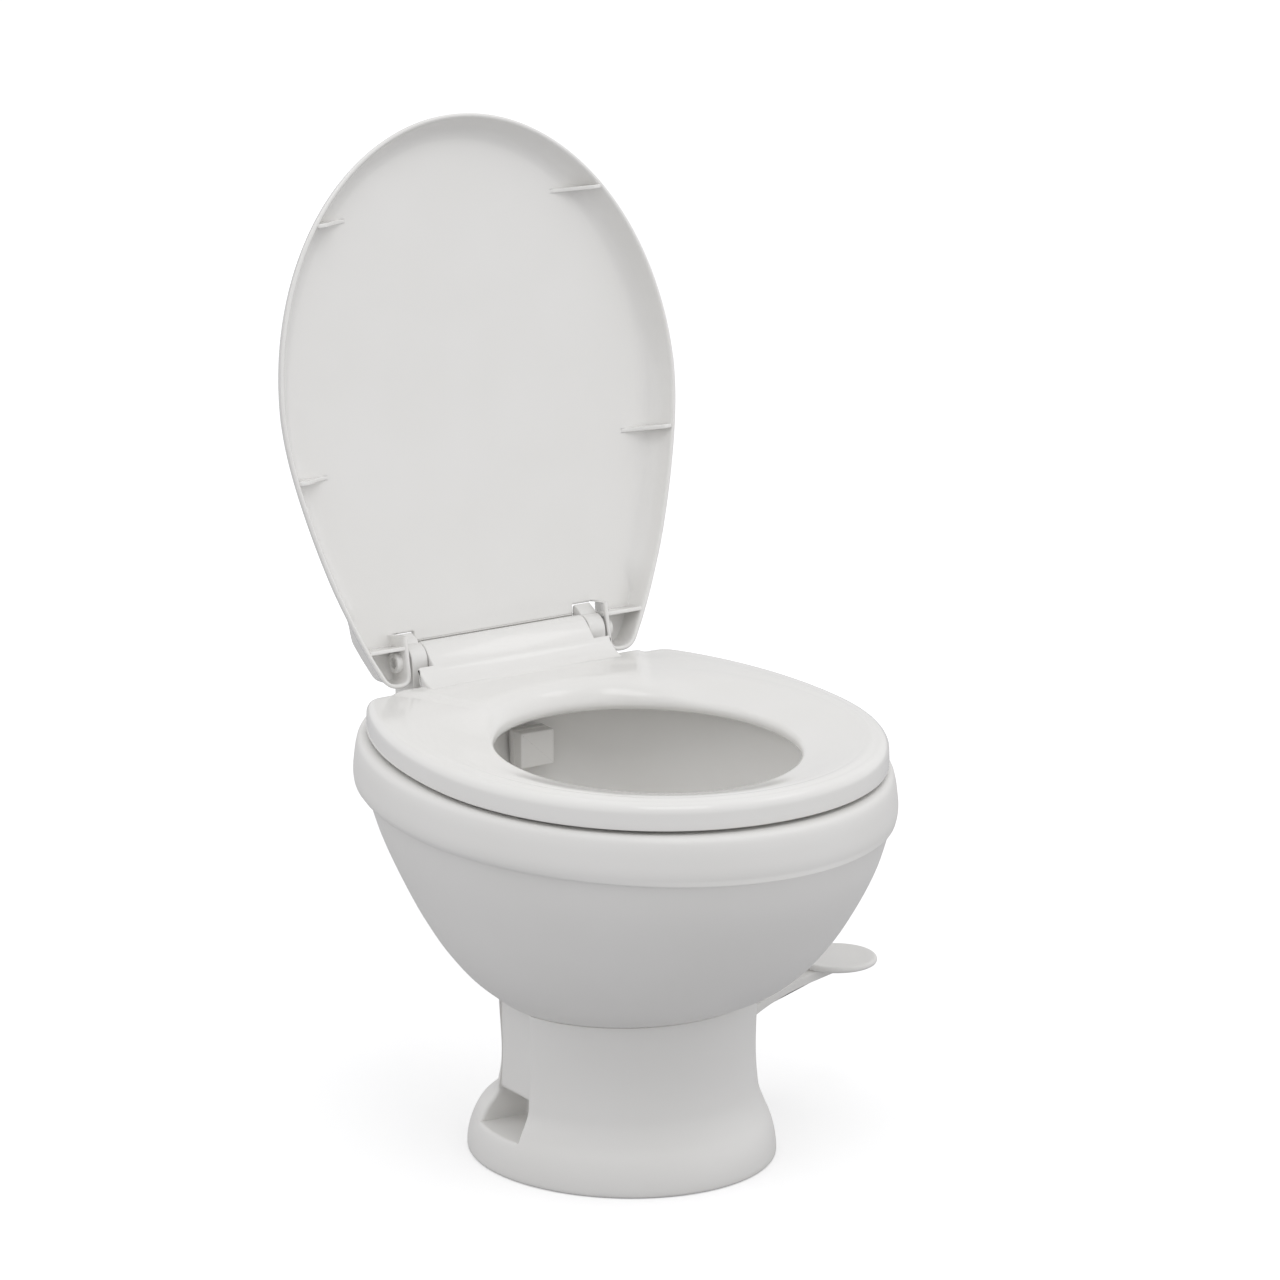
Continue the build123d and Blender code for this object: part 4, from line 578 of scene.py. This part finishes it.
back_z = np.where(front_z > 326.7, back_roll, front_z)
back_z[-2:] = front_z[-2:]
to_back = smooth_step((hole[:, 1] - 30) / 45)
outer_ring = np.stack([
    np.concatenate([drawn_in(outer, d), np.full((len(ring), 1), z)], axis=1) for d, z in outer_rows
])
inner_ring = np.stack([
    np.concatenate([drawn_in(hole, -d), (low * (1 - to_back) + high * to_back)[:, None]], axis=1)
    for d, low, high in zip(back_out, front_z, back_z)
])
# the top between the two rings is crowned by 0.8 mm, and the hollow's ceiling is flat
share = np.linspace(0, 1, 14)[1:-1, None, None]
top = outer_ring[-1] * (1 - share) + inner_ring[0] * share
top[..., 2] += 0.8 * np.sin(np.pi * share[..., 0]) ** 2
share = np.linspace(0, 1, 5)[1:-1, None, None]
ceiling = inner_ring[-1] * (1 - share) + outer_ring[0] * share
grid = np.concatenate([outer_ring, top, inner_ring, ceiling])
# the rear deck stands 2.6 mm higher, inside an edge that widens towards the back
x, y, z = np.moveaxis(grid, -1, 0)
deck_edge = 73 + (y - 79) * 33 / 61
raised = smooth_step((deck_edge - abs(x)) / 9 + 0.5) * smooth_step((y - 62) / 34)
grid[..., 2] += 2.6 * raised * np.clip((z - 333) / 8, 0, 1)
fit("seat_ring", surface("seat_ring", grid, looped=True), seat_gloss, "seat", ["seat"])

# the ramp: a parabola from the deck up to the barrel's top, closed underneath
sweep = np.linspace(0, 1, 18)[:, None]
ramp = ((1 - sweep) ** 2 * np.array([121.0, 343.2]) + 2 * sweep * (1 - sweep) * np.array([148.0, 344.0])
        + sweep ** 2 * np.array([154.9, 356.4]))
ramp = np.concatenate([ramp, [(155.7, 355.2), (155.4, 345), (150, 338.4), (121, 338.4)]])
fit("seat_ramp", surface("seat_ramp", bar(ramp, -ramp_half, ramp_half, 1.6, 0), capped=True),
    seat_gloss, "seat")
round_back = np.radians(np.linspace(130, -90, 34))
barrel = np.stack([axis_y + head_round * np.cos(round_back), axis_z + head_round * np.sin(round_back)],
                  axis=-1)
hinge_outline = np.concatenate([[(140, 341), (153.8, 352.5), (155.9, 357.0)], barrel,
                                rounded([(157, 329), (148, 322.5), (119, 322.5)], 2.0)[3:18]])
barrel_bar = bar(hinge_outline, -barrel_half, barrel_half, 1.2, 0)
fit("seat_barrel", surface("seat_barrel", barrel_bar, capped=True), seat_gloss, "seat")

# Lid: a shallow dish of the seat's glossy polypropylene that leans back open.
# Its sides slope in from a thin lip, which runs on round the two hinge ears,
# and a broad fillet joins them to the flat back panel.

# the directions up the lid and out of it, for a lean of 11.9 degrees past upright
lean = np.array([[0, 0.2062, 0.9785], [0, -0.9785, 0.2062]])


def in_lid(u, v, w):
    """Places lid points: the hinge axis plus u across, v up the lid and w out of it to the seat."""
    u, v, w = np.broadcast_arrays(u, v, w)
    across = np.stack([u, 0 * u, 0 * u], -1)
    return np.array([0, axis_y, axis_z]) + across + v[..., None] * lean[0] + w[..., None] * lean[1]


def fit_to_lid(name, grid, nodes=(), **form):
    """Makes and fits a glossy piece of the lid from a grid of points given as u, v and w."""
    mesh = surface(name, in_lid(*np.moveaxis(grid, -1, 0)), **form)
    fit(name, mesh, seat_gloss, "lid", nodes)


# mm: half width, where the crown starts up the lid and its height, and the inner sides of the ears
lid_half, crown_v, crown_tall = 175.4, 196, 216
ear_side = -88.5
angle = np.linspace(0, np.pi, 150)
crown = np.stack([lid_half * np.cos(angle), crown_v + crown_tall * np.sin(angle)], axis=-1)
fall = np.linspace(crown_v, 3, 64)[1:]
fall_u = curve(fall, [0, 20, 40, 60, 80, 100, 120, 140, 160, 180, crown_v],
               [120.3, 129.8, 138.2, 146.0, 152.6, 158.5, 163.7, 168.3, 172.0, 174.5, lid_half])
foot_turn = rounded([(-fall_u[-1], 3), (-110, -19), (ear_side, -19), (ear_side, 8)],
                    [2, 17, 13, 2], 12)[12:36]
notch_side = np.stack([np.full(10, ear_side), np.linspace(-4, 20.2, 10)], axis=-1)
over_post = np.stack([np.linspace(-88, -72.2, 8), np.full(8, 21.0)], axis=-1)
beside_barrel = np.array([(-71.5, v) for v in (20.4, 19.2, 18.0, 16.8, 15.6)] + [(-71.0, 13.9)])
over_barrel = np.stack([np.linspace(-69.3, 69.3, 60), np.full(60, 13.4)], axis=-1)
left = np.concatenate([np.stack([-fall_u, fall], axis=-1), foot_turn, notch_side])
notch = np.concatenate([over_post, beside_barrel])
notch = np.concatenate([notch, over_barrel, notch[::-1] * [-1, 1]])
outline = np.concatenate([crown, left, notch, left[::-1] * [-1, 1]])
in_notch = np.zeros((len(outline), 1))
in_notch[len(crown) + len(left):len(crown) + len(left) + len(notch)] = 1
on_ear = smooth_step((45 - outline[:, 1:]) / 30)

# rows: inset from the lip's outline and level, up the sloping outside, over the lip, down to the panel
outside_rows = [(26, -12), (20, -11.9), (16, -11.3), (12.5, -9.8), (9.5, -7), (7, -3.5), (4.6, 0.5),
                (2.6, 4.5), (1.2, 8.2), (0.35, 11.2), (0.3, 12.2)]
inside_rows = [(0.9, 12.85), (1.8, 13), (2.7, 12.8), (3.3, 12.1), (3.7, 11.2), (5, 7.6), (6.7, 3.9),
               (8.9, 0.2), (11.4, -2.9), (14.4, -5.3), (17.6, -6.6), (21, -7), (26, -7)]
inset, level = np.array(outside_rows + inside_rows).T[:, :, None, None]
# the ears' sides are steeper than the rest, and in the notch the edge is thin and evenly rounded
lip_wide, notch_round = 3.7, 1.4
inset = np.minimum(inset, lip_wide) + np.maximum(inset - lip_wide, 0) * (1 - 0.88 * on_ear)
turn = np.concatenate([np.linspace(90, 0, len(outside_rows)), np.linspace(0, 90, len(inside_rows))])
turn = np.radians(turn)[:, None, None]
low_half = (np.arange(len(turn)) < len(outside_rows))[:, None, None]
edge_inset = notch_round * (1 - np.cos(turn))
edge_level = np.where(low_half, -10.6 - notch_round * np.sin(turn), -8.4 + notch_round * np.sin(turn))
inset = np.where(in_notch > 0, edge_inset, inset)
level = np.where(in_notch > 0, edge_level, level)
across = np.stack([drawn_in(outline, d) for d in inset])
fit_to_lid("lid_dish", np.concatenate([across, level], axis=-1), ["lid"], capped=True)

# Flap: a thin wall of the same glossy plastic, bent round the hinge axis. It
# goes with the lid and closes the gap behind the seat's barrel.
flap_inner, flap_outer, flap_half = 15, 18.5, 71.5
flap_face = np.radians(np.linspace(30, 100, 18))
flap_back = np.radians(np.linspace(100, 42, 16))
flap = np.concatenate([
    [(14.7, -8.2), (13.3, -7.3)],
    np.stack([flap_inner * np.cos(flap_face), -flap_inner * np.sin(flap_face)], -1),
    np.stack([flap_outer * np.cos(flap_back), -flap_outer * np.sin(flap_back)], -1),
    [(14.7, -11.2)],
])
fit_to_lid("lid_flap_shell", bar(flap, -flap_half, flap_half, 0.6, 0), ["lid_flap"], capped=True)

# Webs, ledges, bosses and fins: details of the lid's own moulding. A thin web
# closes the lid behind each post, a ledge crosses each ear's pocket, a boss
# takes the hinge pin, and four fins near the lip meet the seat when it is shut.
web_sides, ledge_sides = (71.0, 89.0), (89.5, 122.0)
fin_half = 1.6
tube = np.linspace(0, 2 * np.pi, 48, endpoint=False)
web = np.array([(20.3, -11.9), (22.8, -11.9), (22.8, -11.1), (20.5, -11.1)])
ledge_top = 12.2
ledge = rounded([(9.6, -8), (12.6, -8), (12.6, ledge_top), (9.6, ledge_top)], [0.3, 0.3, 0.9, 0.9])
boss_rows = ((91.0, 8.0), (96.2, 8.0), (96.8, 7.7), (97.0, 7.1),
             (97.0, 5.0), (96.6, 4.3), (96.0, 4.06), (89.0, 4.06))
for name, side in (("left", -1), ("right", 1)):
    fit_to_lid(f"lid_web_{name}", bar(web, *sorted(side * u for u in web_sides), 0.1, 0), capped=True)
    ledge_bar = bar(ledge, *sorted(side * u for u in ledge_sides), 0.2, 0)
    slope = np.where(abs(ledge_bar[..., 0]) > 110, (ledge_bar[..., 2] - ledge_top) * 0.12, 0.0)
    ledge_bar[..., 0] += side * slope
    fit_to_lid(f"lid_ledge_{name}", ledge_bar, capped=True)
    boss = np.stack([
        np.stack([side * u + 0 * tube, r * np.cos(tube), r * np.sin(tube)], axis=-1) for u, r in boss_rows
    ])
    fit_to_lid(f"lid_boss_{name}", boss, looped=True)
    for place, v, u, slant in (("low", 148.5, 169.9, 1.02), ("high", 341.0, 130.0, 1.24)):
        fin = np.array([
            (u - 18 * slant, -7.4), (u - 40, -8.0), (u - 29, -3.0), (u - 14, 11.4), (u - 10.5, 14.2),
            (u - 4.5, 14.2), (u - 2.8 * slant, 12.0), (u - 7.2 * slant, 3.9), (u - 12 * slant, -2.9),
        ])
        fin = rounded(fin * [side, 1], [1, 2, 14, 4, 1.2, 1.2, 1, 2, 2])
        fit_to_lid(f"lid_fin_{place}_{name}", bar(fin, v - fin_half, v + fin_half, 0.8, 1), capped=True)

# Studio: a white sweep under a broad even sky that is brighter at both sides
# than behind the camera, with a key lamp at the right and a soft one over the
# front. The floor stays white to the eye and keeps the shadow at the foot.
camera_azimuth = math.radians(-31.73)
camera_elevation = math.radians(16.93)
camera_distance = 7.20427
camera_target = Vector((0, 0, 0.300))
back_axis = Vector((
    math.sin(camera_azimuth) * math.cos(camera_elevation),
    -math.cos(camera_azimuth) * math.cos(camera_elevation),
    math.sin(camera_elevation),
))
right_axis = Vector((math.cos(camera_azimuth), math.sin(camera_azimuth), 0))
up_axis = back_axis.cross(right_axis)

scene = bpy.context.scene
scene.view_settings.view_transform = "Standard"
world = bpy.data.worlds.new("studio_air")
world.use_nodes = True
tree = world.node_tree
tree.nodes.clear()
direction = add_node(tree, "ShaderNodeTexCoord")
to_right = add_node(tree, "ShaderNodeVectorMath", [(0, direction.outputs["Generated"])],
                    operation="DOT_PRODUCT")
to_right.inputs[1].default_value = right_axis
side_glow = add_node(tree, "ShaderNodeValToRGB")
side_scale = add_node(tree, "ShaderNodeMapRange", [("Value", to_right.outputs["Value"])],
                      From_Min=-1.0, From_Max=1.0)
tree.links.new(side_scale.outputs["Result"], side_glow.inputs["Fac"])
side_glow.color_ramp.elements.new(0.5)
for stop, grey in zip(side_glow.color_ramp.elements, (1.16, 0.67, 1.16)):
    stop.color = (grey, grey, grey * 1.01, 1.0)
studio_light = add_node(tree, "ShaderNodeBackground", [("Color", side_glow.outputs["Color"])],
                        Strength=1.0)
white_back = add_node(tree, "ShaderNodeBackground", Color=(1.0, 1.0, 1.0, 1.0), Strength=1.0)
ray = add_node(tree, "ShaderNodeLightPath")
air = add_node(tree, "ShaderNodeMixShader", [
    ("Fac", ray.outputs["Is Camera Ray"]),
    (1, studio_light.outputs["Background"]), (2, white_back.outputs["Background"]),
])
add_node(tree, "ShaderNodeOutputWorld", [("Surface", air.outputs["Shader"])])
scene.world = world

floor_half = 60.0
floor_corners = [(x * floor_half, y * floor_half, 0) for x, y in ((-1, -1), (1, -1), (1, 1), (-1, 1))]
floor_mesh = bpy.data.meshes.new("studio_floor")
floor_mesh.from_pydata(floor_corners, [], [(0, 1, 2, 3)])
floor = bpy.data.objects.new("studio_floor", floor_mesh)
scene.collection.objects.link(floor)
floor_paper = bpy.data.materials.new("matt_studio_paper")
floor_paper.use_nodes = True
tree = floor_paper.node_tree
tree.nodes.clear()
ray = add_node(tree, "ShaderNodeLightPath")
# the paper that the object sees is grey, so that little light comes up from under it
grey_paper = add_node(tree, "ShaderNodeBsdfDiffuse", Color=(0.52, 0.52, 0.53, 1.0))
white_paper = add_node(tree, "ShaderNodeBsdfDiffuse", Color=(0.85, 0.85, 0.85, 1.0))
paper_glow = add_node(tree, "ShaderNodeEmission", Strength=0.3)
lit_paper = add_node(tree, "ShaderNodeAddShader",
                     [(0, white_paper.outputs["BSDF"]), (1, paper_glow.outputs["Emission"])])
paper = add_node(tree, "ShaderNodeMixShader", [
    ("Fac", ray.outputs["Is Camera Ray"]),
    (1, grey_paper.outputs["BSDF"]), (2, lit_paper.outputs["Shader"]),
])
add_node(tree, "ShaderNodeOutputMaterial", [("Surface", paper.outputs["Shader"])])
floor_mesh.materials.append(floor_paper)

lamp_target = Vector((0, 0, 0.35))
for name, place, wide, tall, watts in (
    ("key_lamp", (1.6, -0.93, 2.9), 1.1, 0.8, 4.0),
    ("fill_lamp", (-0.7, -1.6, 3.3), 1.6, 1.6, 16.0),
):
    lamp = bpy.data.lights.new(name, "AREA")
    lamp.shape = "RECTANGLE"
    lamp.size, lamp.size_y = wide, tall
    lamp.energy = watts
    lamp_object = bpy.data.objects.new(name, lamp)
    lamp_object.location = Vector(place)
    lamp_object.rotation_mode = "QUATERNION"
    aim = lamp_target - lamp_object.location
    lamp_object.rotation_quaternion = aim.to_track_quat("-Z", "Y")
    scene.collection.objects.link(lamp_object)

# Camera: a long lens at the photograph's viewing angle, worked out from the
# object's own outlines. Lengths in pixels are those of the 1280 pixel frame.
focal_pixels = 9494.42
image_pixels = 1280
target_pixel = (620.31, 771.49)
sight = (
    -back_axis * focal_pixels
    + right_axis * (image_pixels / 2 - target_pixel[0])
    + up_axis * (target_pixel[1] - image_pixels / 2)
)
camera_data = bpy.data.cameras.new("photo_camera")
camera_data.sensor_width = 36.0
camera_data.lens = focal_pixels / image_pixels * camera_data.sensor_width
camera_data.clip_end = 200.0
camera = bpy.data.objects.new("photo_camera", camera_data)
camera.location = camera_target + back_axis * camera_distance
camera.rotation_mode = "QUATERNION"
camera.rotation_quaternion = sight.to_track_quat("-Z", "Y")
scene.collection.objects.link(camera)
scene.camera = camera
